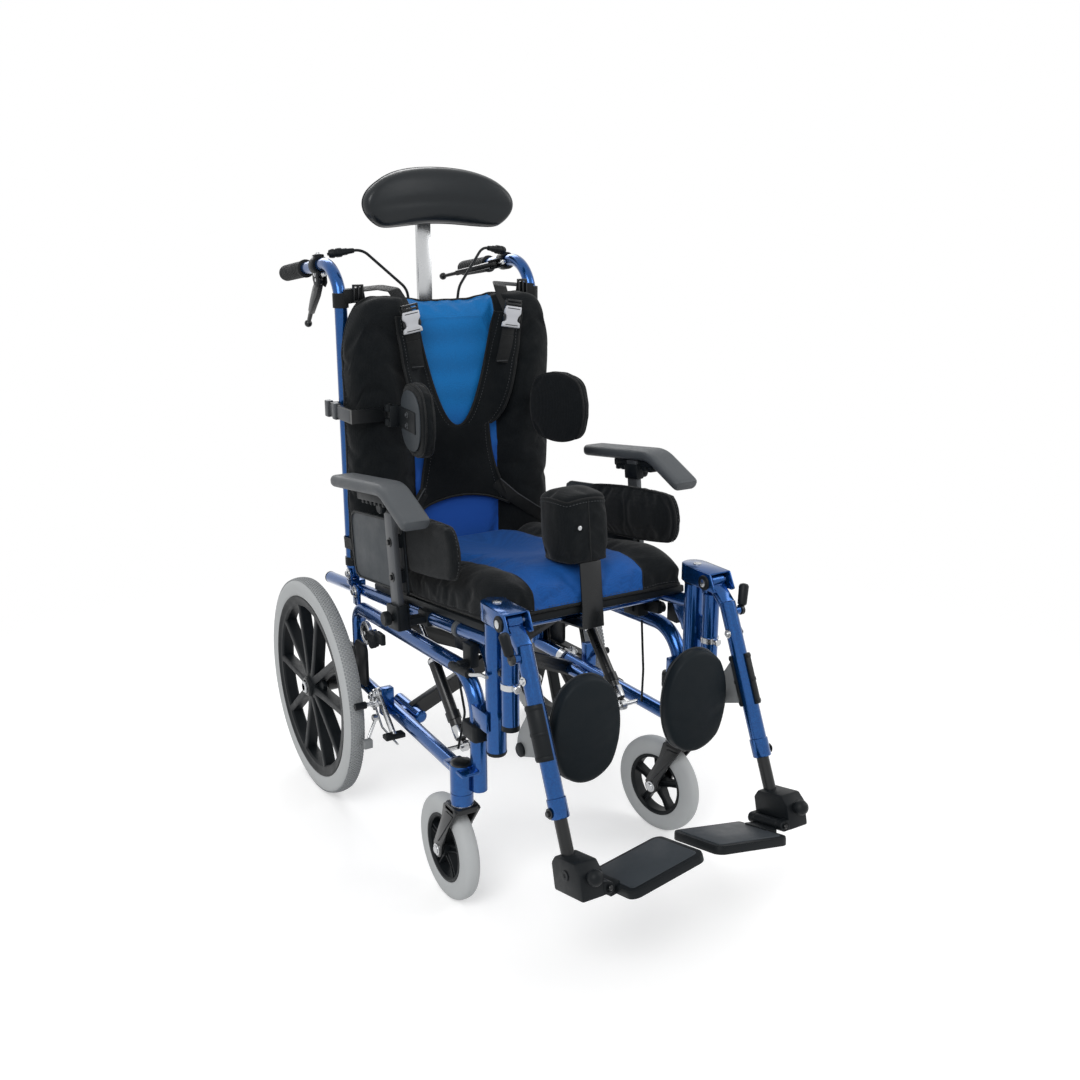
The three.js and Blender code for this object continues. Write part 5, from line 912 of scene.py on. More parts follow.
knee_bolt = merged(*[turned([(3, 6.2), (4.6, 6.2), (5.4, 4)], (x, KNEE.y, KNEE.z), (s, 0, 0), 24)
                     for x, s in ((202, 1), (160, -1))])
knee_pin = rod((162, KNEE.y, KNEE.z), (200, KNEE.y, KNEE.z), 4)
upright_band = merged(turned([(0, 13.1), (0.5, 14.6), (9.5, 14.6), (10, 13.1)], (181, -273, 402), Z),
                      turned([(0, 5), (1, 6), (8, 6), (9, 5)], (181, -286, 407), (0, -1, 0), 20))
roof_screw = bolt((181, -236, 521), Z, 4.5, 1.5, 0.3)
pair("hanger", "hanger_{}_body",
     [("lacquer", merged(hanger_walls, roof, under, round_wall, inner_wall, upright_tube, upright_top, hook)),
      ("plastic", merged(washers, upright_cap)), ("gloss_black", hook_bolts),
      ("steel", merged(knee_bolt, knee_pin, hanger_pin, roof_screw, upright_band))], ["hanger_{}"])

# %% Legrests, levers and calf brackets
leg_tube = turned([(35, 9), (36.5, 12.5), (273, 12.5), (274, 10.6)], on_leg(0), LEG_WAY)
leg_hub = along_x([(-12, 4.6), (-12, 9), (-11, 10), (11, 10), (12, 9), (12, 4.6)], KNEE, 32)
leg_tongue = beam(KNEE + LEG_WAY * 6, on_leg(41), 24, 12, edge=1.6)
leg_boss = rod(on_leg(52), on_leg(52, across=19.5), 6)
leg_collar = turned([(247, 12.6), (248, 14), (274, 14), (275.5, 13), (275.5, 9.7)], on_leg(0), LEG_WAY)
leg_bolt = merged(bolt(on_leg(84, across=12), X, 4), bolt(on_leg(84, across=-12), (-1, 0, 0), 4))
foot_screw = bolt(on_leg(266, across=15), X, 4.5)
pair("legrest", "leg_{}",
     [("lacquer", merged(leg_tube, leg_hub, leg_tongue, leg_boss, leg_collar)), ("gloss_black", foot_screw),
      ("steel", leg_bolt)], ["legrest_{}"])
lever_from = on_leg(52, across=19.8)
lever_start = lever_from + X * 4.3
lever_end = lever_start + Vector((8, 6, 38))
lever_way = lever_end - lever_start
lever_hub = turned([(0, 7), (0.6, 8), (5.4, 8), (6, 7)], lever_from, X)
lever_grip = turned([(share * lever_way.length, r) for share, r in
                     ((0.16, 5), (0.22, 7.2), (0.92, 7.8), (1, 6), (1.03, 2))], lever_start, lever_way, 24)
pair("leg_lever", "leg_release_{}",
     [("plastic", lever_grip), ("gloss_black", merged(lever_hub, rod(lever_start, lever_end, 4)))],
     ["leg_lever_{}"])
SLEEVE = 16.3
leg_frame = axes_at(X, LEG_AHEAD, LEG_WAY, on_leg(0))
sleeve_line = arc((0, 0), SLEEVE, 185, 455, 30) + arc((0, 0), 12.9, 455, 185, 30)
rib_line = arc((0, 0), SLEEVE + 0.8, 192, 448, 26) + arc((0, 0), SLEEVE - 0.6, 448, 192, 26)
sleeve = moved(merged(plate(sleeve_line, 118, 196, "z", 0.8),
                      *[plate(rib_line, z, z + 5, "z", 0.5) for z in (120, 156, 189)]), leg_frame)
CALF = on_leg(179, -49)
inside_top, inside_low = on_leg(121.5, 2.9), on_leg(192.5, 2.9)
calf_line = [(inside_low.y, inside_low.z), (inside_top.y, inside_top.z)]
calf_line += [(CALF.y + y, CALF.z + z) for y, z in ((7, 27), (12, 14), (14, 0), (12, -10), (7, -14))]
calf_plate = plate(calf_line, 178.5, 183.5, "x", 1.2)
calf_knob = turned([(2, 9), (2, 10.4), (6, 10.4), (8, 8), (8.4, 3)], (181, CALF.y, CALF.z), X, 28)
pair("calf_bracket", "leg_{}",
     [("pale_grey", calf_plate), ("plastic", merged(sleeve, calf_knob))],
     ["calf_bracket_{}"])

# %% Foot tubes, hinge blocks and footplates
SHOE = Matrix.Translation(on_leg(351.8, 31.7)) @ Matrix.Rotation(math.radians(-14), 4, "X")
PIN_X, HINGE_Z = -26.3, -16
foot_tube = turned([(168, 8.4), (169, 9.4), (333, 9.4), (334, 8)], on_leg(0), LEG_WAY)
shoe_line = [(-37, -25), (-37, 12), (-26, 25), (26, 25), (37, 14), (37, -25)]
shoe_block = plate(shoe_line, -18, 18, "x", 3)
knuckle_line = [(0, 3.8), (0, 7.2), (0.8, 8), (11.2, 8), (12, 7.2), (12, 3.8)]
knuckles = merged(*[merged(turned(knuckle_line, (PIN_X, y, HINGE_Z), Y, 24, True),
                           block((PIN_X, y, HINGE_Z - 8), (-16, y + 12, HINGE_Z + 8), 1.2)) for y in (-37, 25)])
hinge_pin = rod((PIN_X, -40.5, HINGE_Z), (PIN_X, 40.5, HINGE_Z), 3.5)
ball_knob = turned([(0, 4), (4, 4), (5, 9), (9, 11), (14, 11.5), (19, 9), (22, 4)], (0, -34, 6), (0, -1, 0.1), 24)
side_cap = turned([(0, 7), (0.8, 7.6), (1.6, 6.6), (1.6, 3), (0.8, 2.6)], (18, 0, 4), X, 28)
pair("foot_tube", "foot_{}",
     [("gloss_black", foot_tube)] + carried(SHOE, ("plastic", merged(shoe_block, knuckles, ball_knob, side_cap)),
                                            ("gloss_black", hinge_pin)), ["foot_tube_{}"])
ROLL = SHOE @ Matrix.Translation((PIN_X, 0, HINGE_Z)) @ Matrix.Rotation(math.radians(9), 4, "Y")
IN_X, OUT_X, FRONT_Y, REAR_Y = -14, -144, -64, 48
barrel = turned([(-24.7, 4.2), (-24.7, 7.2), (-24, 8), (24, 8), (24.7, 7.2), (24.7, 4.2)], (0, 0, 0), Y, 24, True)
plate_arm = block((-24, -24.7, -19.6), (-4, 24.7, -4), 1.5)


def plate_outline(inset, corner):
    x0, x1, y0, y1 = OUT_X + inset, IN_X - inset, FRONT_Y + inset, REAR_Y - inset
    return (arc((x1 - corner, y0 + corner), corner, 0, -90, 5) + arc((x0 + corner, y0 + corner), corner, -90, -180, 5)
            + arc((x0 + corner, y1 - corner), corner, 180, 90, 5) + arc((x1 - 4, y1 - 4), 4, 90, 0, 3))


slab = plate(plate_outline(0, 14), -20, -9.2, "z", 1.4)
mat = plate(plate_outline(8, 7), -9.6, -6.4, "z", 0.9)
plate_rim = plate(plate_outline(0.5, 13.4), -9.4, -7.6, "z", 0.7)
pair("footplate", "plate_{}",
     carried(ROLL, ("plastic", merged(barrel, plate_arm, slab, plate_rim)), ("slate", mat)),
     ["footplate_{}"])
print("frame and legs done", len(made))

# %% [markdown]
# ## Armrests and the back's frame
# The armrest is a flat post in a socket, with a thin guard plate against the clothes and a moulded pad. The back
# frame is two canes, bent to the rear as push handles, with a clamp for the headrest's flat post.

# %% Armrests
arm_bar = block((228, 181, -3.7), (238, 209, 208.5), 1.2)
guard_line = [(183, 47), (186, 44), (380, 44), (394, 50), (398, 62), (398, 142), (394, 154), (380, 160), (186, 160),
              (183, 157)]
guard = plate(guard_line, 215.5, 219.5, "x", 1)
guard_in = [(y + (3 if y < 290 else -3), z + (3 if z < 100 else -3)) for y, z in guard_line]
guard_rim = skin([[Vector((x, y, z)) for y, z in line] for x, line in
                  ((216, guard_line), (220.8, guard_line), (220.8, guard_in), (218, guard_in))], caps=False)
tabs = merged(*[block((218, 185, z - 10), (233, 205, z + 10), 1.5) for z in (74, 130)])
tab_bolts = merged(*[bolt((238, 195, z), X, 4.5) for z in (74, 130)])
ratchet = merged(block((225, 176, 176), (241, 214, 202), 3), block((233, 138, 196), (262, 256, 209.5), 3),
                 *[block((230, y, 190), (258, y + 9, 199), 2) for y in range(142, 250, 16)])
ratchet_knob = turned([(0, 6), (3, 6), (3, 9.5), (5, 11), (11, 11), (13, 9)], (241, 190, 188), X, 12)
pair("arm_post", "armrest_{}",
     carried(SEAT, ("dull_metal", arm_bar), ("slate", guard),
             ("plastic", merged(tabs, ratchet, ratchet_knob, guard_rim)), ("gloss_black", tab_bolts)),
     ["arm_post_{}"])
pad_path = rounded([(248, 345, 219), (248, 146, 219), (248, 66, 171.5)], 70, math.radians(5))
pad_path = [pad_path[0].lerp(pad_path[1], t) for t in (0, 0.008, 0.02, 0.04, 0.08, 0.5)] + pad_path[1:-1] \
    + [pad_path[-2].lerp(pad_path[-1], t) for t in (0.5, 0.8, 0.9, 0.95, 0.98, 1)]
pad_sizes = [0.78, 0.9, 0.96, 0.99] + [1] * (len(pad_path) - 8) + [0.99, 0.96, 0.9, 0.78]
pad_corner = [(sx * (24 - 9) + 9 * math.cos(a), sy * 1.5 + 8.5 * math.sin(a)) for sx, sy, start in
              ((1, 1, 0), (-1, 1, 90), (-1, -1, 180), (1, -1, 270)) for a in
              [math.radians(start + 90 * k / 6) for k in range(7)]]
arm_pad = sweep(pad_path, pad_corner, side=X, sizes=pad_sizes)
pair("arm_pad", "armrest_{}", carried(SEAT, ("grey_plastic", arm_pad)), ["arm_pad_{}"])

# %% Back frame, handles and grips
HANDLE_BEND, HANDLE_END = Vector((188, 0, 552)), Vector((188, 266, 520))
HANDLE_WAY = (HANDLE_END - HANDLE_BEND).normalized()
cane = tube([(188, 0, 12), HANDLE_BEND, HANDLE_END], 11, 66)
tongue = plate([(-10.4, 26)] + arc((0, 0), 10.4, 180, 360, 12) + [(10.4, 26)], 184, 192, "x", 0.9)
cane_collar = turned([(0, 11.1), (0.6, 12.6), (15.4, 12.6), (16, 11.1)], (188, 0, 16), Z)
back_tubes = [tube([(-186, 0, z), (186, 0, z)], 9) for z in (70, 438)]
clamp_parts = merged(
    plate([(-20.8, 3), (-20.8, 56.7), (20.8, 56.7), (20.8, 3), (16, 0), (-16, 0)], 421, 455, "z", 1.4),
    plate([(-20.8, 56), (-20.8, 70), (-17, 74.3), (17, 74.3), (20.8, 70), (20.8, 56), (13.8, 56), (13.8, 67.3),
           (-13.8, 67.3), (-13.8, 56)], 421, 455, "z", 1.2))
clamp_knob = turned([(0, 5), (6, 5), (6, 10), (8, 13), (18, 13), (21, 10)], (0, 74, 438), Y, 12)
back_left = [("lacquer", merged(cane, tongue)), ("plastic", cane_collar)]
piece("back_frame", "back",
      carried(BACK, *back_left, *flipped(back_left), ("lacquer", merged(*back_tubes)),
              ("plastic", merged(clamp_parts, clamp_knob))), ["back_frame"])

grip_end = HANDLE_END + HANDLE_WAY * 4
grip_profile = [(0, 11.6), (0, 14.4), (1, 16.2), (4.5, 16.2), (6, 14)]
for ridge in range(12):
    at_ridge = 9 + ridge * 7.9
    grip_profile += [(at_ridge, 13.6), (at_ridge + 1.6, 14.9), (at_ridge + 5.6, 14.9), (at_ridge + 7.2, 13.6)]
grip_profile += [(106, 14.8), (110, 14), (112, 11), (112.4, 5)]
push_grip = turned(grip_profile, grip_end - HANDLE_WAY * 112, HANDLE_WAY, 40)
pair("push_grip", "back", carried(BACK, ("grip", push_grip)), ["push_grip_{}"])

# %% Hand levers


def lever_parts(turn):
    """Clamp and lever, drawn with the handle along Y, turned about it and set on the handle."""
    axes = axes_at(X, HANDLE_WAY, X.cross(HANDLE_WAY), HANDLE_BEND + HANDLE_WAY * 96)
    place = BACK @ axes @ Matrix.Rotation(turn, 4, "Y")
    collar = turned([(-11, 11.3), (-11, 15), (-9.6, 16), (9.6, 16), (11, 15), (11, 11.3)], (0, 0, 0), Y, 36, True)
    cheek_line = [(-13, -10), (13, -10), (14, -22), (10, -32), (-3, -38), (-13, -31)]
    cheeks = merged(plate(cheek_line, -8.8, -5.8, "x", 1), plate(cheek_line, 5.8, 8.8, "x", 1),
                    block((-8, -13, -19), (8, -5, -11), 1.5), block((-9, -9, 12), (9, 9, 19), 2.5))
    screws = merged(bolt((0, 0, 19), Z, 3.4), bolt((8.5, 0, -15), X, 2.6),
                    rod((-11, 0, 14), (11, 0, 14), 2.6))
    barrel = turned([(0, 3.4), (0, 4.4), (10, 4.4), (11, 3.4), (17, 3), (18, 2.2)], (0, -10, -18), (0, -1, 0.1), 20)
    pivot, knee, tip = Vector((0, 0, -25)), Vector((0, 24, -41)), Vector((0, 80, -97))
    blade_line = rounded([pivot, knee, tip], 14)
    blade = sweep(blade_line, oval(5, 7.5, 20), side=X, sizes=[1.2] + [1.12] * (len(blade_line) - 3) + [1.0, 0.66])
    root = plate(arc((0, -25), 8, 60, 230, 12) + [(14.5, -52.6), (38, -69), (56, -82), (63, -74), (50, -57),
                                                  (29, -35)], -5, 5, "x", 2)
    hub_shape = turned([(-7, 5.5), (-6, 7), (6, 7), (7, 5.5)], pivot, X, 28)
    ball = turned([(7 * math.sin(a), 7 * math.cos(a)) for a in [math.radians(d) for d in range(-84, 85, 12)]], tip,
                  tip - knee, 28)
    pin = turned([(-9, 3), (-8.4, 3.8), (8.4, 3.8), (9, 3)], pivot, X, 20)
    return (carried(place, ("plastic", merged(collar, cheeks)), ("steel", merged(screws, barrel))),
            carried(place, ("gloss_black", merged(blade, root, hub_shape, ball)), ("steel", pin)))


for side, turn in (("left", math.radians(78)), ("right", 0.0)):
    clamp_side, lever_side = lever_parts(turn)
    if side == "right":
        clamp_side, lever_side = flipped(clamp_side), flipped(lever_side)
    piece(f"lever_clamp_{side}", "back", clamp_side, [f"lever_clamp_{side}"])
    piece(f"hand_lever_{side}", f"lever_{side}", lever_side, [f"hand_lever_{side}"])

# %% Cables, trunk bar and headrest post
route = [(178, 78, 560), (120, 60, 568), (52, 26, 500), (40, 26, 422), (16, 26, 248), (8, 26, 70)]
cable = tube(route, 2.5, 30, 16)
clip = block((-14, 9.3, 64), (14, 32, 76), 1.5)
adjuster = turned([(2, 3.4), (3, 6.6), (8, 8), (12, 8), (13, 7), (15, 7), (16, 8), (24, 8), (27, 6), (34, 6),
                   (36, 5), (46, 4.4), (48, 2.6)], route[0], Vector(route[1]) - Vector(route[0]), 20)
piece("lever_cables", "back",
      carried(BACK, ("plastic", merged(cable, mirrored(cable), adjuster, mirrored(adjuster), clip))), ["lever_cables"])
piece("trunk_bar", "back",
      [("gloss_black", packed("trunk_bar", 1.0))]
      + carried(BACK, ("dull_metal", merged(*[block((s * 209.5 - 6, y, 285.5), (s * 209.5 + 6, y + 15, 314.5), 2)
                                              for s in (-1, 1) for y in (-20, 14)])),
                ("dull_metal", merged(*[beam((s * 211.6, -78, 300), (s * 211.6, 22, 300), 20, 1.6, Z, 0.5)
                                        for s in (-1, 1)]))),
      ["trunk_bar"])
post_bar = block((-13.5, 57, 330), (13.5, 67, 634), 1.4)
post_head = turned([(-13.5, 7.6), (-12.6, 9), (12.6, 9), (13.5, 7.6)], (0, 62, 642), X, 32)
piece("headrest_post", "headrest_stem", carried(BACK, ("steel", merged(post_bar, post_head))),
      ["headrest_post"])
piece("pommel_bracket", "pommel_unit", [("gloss_black", packed("pommel_bracket", 0.9))],
      ["pommel_bracket"])
print("rigid pieces", len(made))

# %% [markdown]
# ## Soft goods
# A cushion is foam in a sewn cover. Its panels swell between the seams and the seams hold them in, so each pad
# starts as a closed grid whose lines fall on the seams. Blender's cloth solver then inflates it a little with
# the seams pinned, which gives the crown of each panel and the small tension folds beside the seams. Because the
# grid stays known, the piping can be laid along the very points of a seam afterwards.

# %% Grid forms


def spaced(*stops):
    """Values from stop to stop, each (value, cells up to it)."""
    values = [stops[0][0]]
    for value, cells in stops[1:]:
        start = values[-1]
        values += [start + (value - start) * k / cells for k in range(1, cells + 1)]
    return values


def even(cells):
    return [2 * k / cells - 1 for k in range(cells + 1)]


class Form:
    """A closed grid over a block, each point carried to its place; at[(i, j, k)] is a point's number."""

    def __init__(self, us, vs, ws, carry):
        self.size = (len(us) - 1, len(vs) - 1, len(ws) - 1)
        self.at, self.points, self.faces, self.sides = {}, [], [], []
        values = (us, vs, ws)

        def number(key):
            if key not in self.at:
                self.at[key] = len(self.points)
                self.points.append(Vector(carry(us[key[0]], vs[key[1]], ws[key[2]])))
            return self.at[key]

        for axis in range(3):
            b, c = (axis + 1) % 3, (axis + 2) % 3
            for end in (0, self.size[axis]):
                for j in range(self.size[b]):
                    for k in range(self.size[c]):
                        corners = []
                        for dj, dk in ((0, 0), (1, 0), (1, 1), (0, 1)):
                            key = [0, 0, 0]
                            key[axis], key[b], key[c] = end, j + dj, k + dk
                            corners.append(number(tuple(key)))
                        self.faces.append(tuple(corners if end else reversed(corners)))
                        middle = [0, 0, 0]
                        middle[axis], middle[b], middle[c] = values[axis][end], \
                            (values[b][j] + values[b][j + 1]) / 2, (values[c][k] + values[c][k + 1]) / 2
                        self.sides.append(((axis, 1 if end else -1), tuple(middle)))

    def ring(self, axis, index):
        """The closed line of points at one station, round the other two axes."""
        b, c = (axis + 1) % 3, (axis + 2) % 3
        nb, nc = self.size[b], self.size[c]
        line = [(j, 0) for j in range(nb)] + [(nb, k) for k in range(nc)]
        line += [(j, nc) for j in range(nb, 0, -1)] + [(0, k) for k in range(nc, 0, -1)]
        keys = []
        for j, k in line:
            key = [0, 0, 0]
            key[axis], key[b], key[c] = index, j, k
            keys.append(self.at[tuple(key)])
        return keys

    def line(self, axis, fixed):
        """The points along an axis, the other two indices fixed."""
        return [self.at[fixed[:axis] + (i,) + fixed[axis:]] for i in range(self.size[axis] + 1)]

    def side(self, axis, index):
        """All points of one side."""
        return [number for key, number in self.at.items() if key[axis] == index]


def neighbours(points, faces):
    """For each point, the set of points that it shares an edge with."""
    near = [set() for _ in points]
    for face in faces:
        for a, b in zip(face, face[1:] + face[:1]):
            near[a].add(b)
            near[b].add(a)
    return near


def eased(form, rounds, held=()):
    """Rounds off a form's edges by moving each point toward its neighbours."""
    near = neighbours(form.points, form.faces)
    held = set(held)
    for _ in range(rounds):
        form.points = [p if i in held else p.lerp(sum((form.points[n] for n in near[i]), Vector()) / len(near[i]), 0.5)
                       for i, p in enumerate(form.points)]


def sewn(name, points, faces, weld=0):
    """A mesh with its faces turned outward."""
    mesh = bpy.data.meshes.new(name)
    mesh.from_pydata(points, [], faces)
    work = bmesh.new()
    work.from_mesh(mesh)
    if weld:
        bmesh.ops.remove_doubles(work, verts=work.verts, dist=weld)
    bmesh.ops.recalc_face_normals(work, faces=work.faces)
    work.to_mesh(mesh)
    work.free()
    return mesh


SWELL_FRAMES = 16


def swollen(form, pins, cap, pressure=2.5, grow=0.03, stiff=10):
    """Inflates a form with its seams pinned; no point moves more than cap millimetres."""
    item = placed("swelling", sewn("swelling", [p * MM for p in form.points], form.faces))
    group = item.vertex_groups.new(name="seams")
    group.add(list(pins), 1.0, "REPLACE")
    swell = item.modifiers.new("swell", "CLOTH")
    cloth = swell.settings
    cloth.vertex_group_mass = "seams"
    cloth.pin_stiffness = 1
    cloth.use_pressure = True
    cloth.uniform_pressure_force = pressure
    cloth.shrink_min = -grow
    cloth.mass = 0.2
    cloth.tension_stiffness = cloth.compression_stiffness = stiff
    cloth.shear_stiffness = stiff / 2
    cloth.bending_stiffness = 0.3
    cloth.quality = 5
    cloth.effector_weights.gravity = 0
    swell.point_cache.frame_end = SWELL_FRAMES
    for step in range(1, SWELL_FRAMES + 1):
        scene.frame_set(step)
    result = item.evaluated_get(bpy.context.evaluated_depsgraph_get())
    for number, vertex in enumerate(result.data.vertices):
        move = vertex.co / MM - form.points[number]
        if move.length > cap:
            move *= cap / move.length
        form.points[number] = form.points[number] + move
    bpy.data.objects.remove(item)
    scene.frame_set(1)


def stuffed(name, body, mesh, nodes):
    """A smooth padded piece from a mesh."""
    mesh.shade_smooth()
    item = placed(name, mesh)
    smoother = item.modifiers.new("subdivision", "SUBSURF")
    smoother.levels = smoother.render_levels = 1
    riding(item, body, nodes)


def soft_piece(name, body, form, place, look_of, trims, nodes, mirror=False):
    """A padded piece from a form, its look by face, with trims such as piping in the same place."""
    looks = [look_of(side, middle) for side, middle in form.sides]
    finishes = list(dict.fromkeys(looks))
    points = [place @ p for p in form.points]
    trims = carried(place, *trims)
    if mirror:
        points, trims = [Vector((-p.x, p.y, p.z)) for p in points], flipped(trims)
    mesh = sewn(name, [metres(p) for p in points], form.faces)
    mesh.polygons.foreach_set("material_index", [finishes.index(look) for look in looks])
    for look in finishes:
        mesh.materials.append(LOOKS[look])
    stuffed(name, body, mesh, nodes)
    piece(name + "_trim", body, trims)


def piping(form, keys, radius=2.0, closed=True):
    """A welt along a line of a form's points."""
    line = [form.points[k] for k in keys]
    count = len(line)
    for _ in range(2):
        line = [(line[i - 1] + line[i] * 2 + line[(i + 1) % count]) / 4 if closed or 0 < i < count - 1 else line[i]
                for i in range(count)]
    return sweep(line, circle(radius, 8), closed)


# %% Seat cushion
CUSHION_HALF, CUSHION_LOW, SEAM_X = 181, 23.6, 104
CUSHION_FRONT, CUSHION_REAR = -4, 406


def cushion_height(x, v):
    out = max(abs(x) - SEAM_X, 0) / (CUSHION_HALF - SEAM_X)
    inward = min(abs(x) / SEAM_X, 1)
    bolster = 10 * math.sin(math.pi * out) - 20 * out ** 4
    seam = 5 * math.exp(-(((abs(x) - SEAM_X) / 9) ** 2))
    along = min(max((v + 0.45) / 1.5, 0), 1)
    dip = 14 * math.sin(math.pi * along) * (1 - inward * 0.7)
    front = min(max((-v - 0.72) / 0.28, 0), 1)
    return 58 + bolster - seam - dip - 18 * front * front


def cushion_point(u, v, w):
    top = (w + 1) / 2
    waist = 2 * (1 - w * w)
    x = u * (CUSHION_HALF - waist) * math.sqrt(1 - 0.05 * v * v)
    y = CUSHION_FRONT + (v + 1) / 2 * (CUSHION_REAR - CUSHION_FRONT)
    return x, y, CUSHION_LOW + top * cushion_height(x, v)


SEAM_U = SEAM_X / CUSHION_HALF
CUSHION_SEAMS, CUSHION_TOP = (14, 48), 9  # the seams' columns and the top layer
cushion = Form(spaced((-1, 0), (-SEAM_U, 14), (SEAM_U, 34), (1, 14)), even(66), even(CUSHION_TOP), cushion_point)
front_seams = [cushion.line(2, (i, 0))[1:CUSHION_TOP] + cushion.line(1, (i, CUSHION_TOP)) for i in CUSHION_SEAMS]
base_ring, under_side = cushion.ring(2, 1), cushion.side(2, 0)
eased(cushion, 5, under_side)
swollen(cushion, [key for line in front_seams for key in line[1:]] + base_ring + under_side, 8)


# The middle panel's top and front take the darker copy of the blue cloth, painted shade on the seat.
def cushion_look(side, middle):
    return "blue_cloth_shaded" if side in ((2, 1), (1, -1)) and abs(middle[0]) < SEAM_U and middle[2] > -0.8 else "black_cloth"


soft_piece("seat_cushion", "seat", cushion, SEAT, cushion_look,
           [("webbing", merged(piping(cushion, base_ring, 2.3),
                               *[piping(cushion, line, 1.3, False) for line in front_seams]))], ["seat_cushion"])
print("cushion points", len(cushion.points))

# %% Back pad
PAD_HALF, PAD_LOW, PAD_HIGH, PAD_REAR, VALLEY = 197, 26, 490, 11.5, 84


def pad_front(x, z):
    side = abs(x)
    step = min(max((side - 79) / 26, 0), 1)
    raised = step * step * (3 - 2 * step)
    centre = 32 + 11 * min(max((PAD_HIGH - z) / (PAD_HIGH - PAD_LOW), 0), 1)
    edge = min(max((side - PAD_HALF + 34) / 34, 0), 1)
    return 24 * edge * edge - PAD_REAR - centre - (60 - centre) * raised


def back_point(u, v, w):
    x = u * PAD_HALF
    corner = max(abs(u) - 0.72, 0) / 0.28
    inward = max(1 - abs(x) / 92, 0)
    top = PAD_HIGH - 86 * corner ** 3 - 8 * min(2 * inward, 1)
    z = PAD_LOW + (w + 1) / 2 * (top - PAD_LOW)
    over = max(w - 0.86, 0) / 0.14
    face = pad_front(x, z) + 12 * over * over
    return x, (-PAD_REAR - 0.5 + face) / 2 + v * (-PAD_REAR - 0.5 - face) / 2, z


V_U = VALLEY / PAD_HALF
back_pad = Form(spaced((-1, 0), (-108 / PAD_HALF, 15), (-V_U, 5), (-76 / PAD_HALF, 2), (76 / PAD_HALF, 24), (V_U, 2),
                       (108 / PAD_HALF, 5), (1, 15)), even(8), even(72), back_point)
valleys = [back_pad.line(2, (i, 0)) for i in (20, 48)]
rear_side = back_pad.side(1, 8)
eased(back_pad, 5, rear_side)
swollen(back_pad, valleys[0] + valleys[1] + rear_side + back_pad.ring(1, 7), 8)


def back_look(side, middle):
    return "blue_cloth" if side in ((1, -1), (2, 1), (2, -1)) and abs(middle[0]) < V_U else "black_cloth"


soft_piece("back_pad", "back", back_pad, BACK, back_look,
           [("webbing", merged(piping(back_pad, back_pad.ring(1, 6), 2.2),
                               *[piping(back_pad, line, 1.3, False) for line in valleys]))], ["back_pad"])
print("back pad points", len(back_pad.points))

# %% [markdown]
# ## Small pads
# The hip pads, trunk pads, calf pads and headrest are foam on a board. Their outline is a rounded one, their face
# is crowned, and their sides are drawn in where the cover turns round the board. One function gives them all,
# and the two of a pair are one form, mirrored.

# %% Pads


def pad_point(u, v, w, half, round_share, crown_share, tuck_share):
    drawn = 1 - tuck_share * v * v
    across = u * math.sqrt(1 - round_share * w * w / 2)
    up = w * math.sqrt(1 - round_share * u * u / 2)
    crown = 1 - crown_share * (1 - (1 - u * u) * (1 - w * w))
    return Vector((across * half[0] * drawn, v * half[1] * crown, up * half[2] * drawn))


def one_look(look):
    return lambda side, middle: look


def hip_point(u, v, w):
    p = pad_point(u, v, w, (134, 11.5, 45), 0.45, 0.3, 0.05)
    return 202.7 - p.y, 164 + p.x, 124 + p.z


hip = Form(even(44), even(5), even(18), hip_point)
eased(hip, 3)
hip_seam = hip.ring(1, 4)
swollen(hip, hip_seam + hip.side(1, 0), 5)
for side, _ in SIDES:
    soft_piece(f"hip_pad_{side}", f"armrest_{side}", hip, SEAT, one_look("black_cloth"),
               [("webbing", piping(hip, hip_seam, 2.1))], [f"hip_pad_{side}"], side == "right")

TRUNK_PIN, TRUNK_MIDDLE, DISC_R = (147, -96.3, 300), -72, 50


def trunk_point(u, v, w):
    p = pad_point(u, v, w, (63, 14.5, 62), 0.75, 0.3, 0.06)
    return -p.y - 27, p.x + TRUNK_MIDDLE, p.z


trunk = Form(even(22), even(6), even(22), trunk_point)
eased(trunk, 3)
trunk_seam = trunk.ring(1, 5)
swollen(trunk, trunk_seam + trunk.side(1, 0), 5)
board = trunk.ring(1, 1)
disc_line = [(TRUNK_MIDDLE + DISC_R * math.copysign(abs(a) ** 0.8, a), DISC_R * math.copysign(abs(b) ** 0.8, b))
             for a, b in circle(1, 48)]
trunk_disc = plate(disc_line, -15, -12.4, "x", 1)
stay = block((-17, -102.4, -18), (-10.4, -12, 18), 1.2)
stay_root = block((-17, -18, -18), (4, -12, 18), 1)
trunk_knuckles = []
for a, b in ((-18, -6.3), (6.3, 18)):
    profile = [(a, 4.3), (a, 7.6), (a + 0.8, 8.4), (b - 0.8, 8.4), (b, 7.6), (b, 4.3)]
    trunk_knuckles += [turned(profile, (0, 0, 0), Z, 28, True), block((-4, -15, a), (4, -3, b), 0.8)]
stay_screws = merged(*[bolt((-10.4, -64, z), X, 3.2) for z in (9, -9)])
for side, splay in (("left", 18), ("right", 7)):
    place = BACK @ Matrix.Translation(TRUNK_PIN) @ Matrix.Rotation(math.radians(splay), 4, "Z")
    soft_piece(f"trunk_pad_{side}", f"trunk_{side}", trunk, place, one_look("black_cloth"),
               [("webbing", merged(piping(trunk, trunk_seam, 2.0), piping(trunk, board, 1.8))),
                ("slate", trunk_disc), ("plastic", merged(stay, stay_root, *trunk_knuckles)),
                ("dull_metal", stay_screws)],
               [f"trunk_pad_{side}"], side == "right")

# %% Headrest
HEAD_HALF = (144, 52, 47)


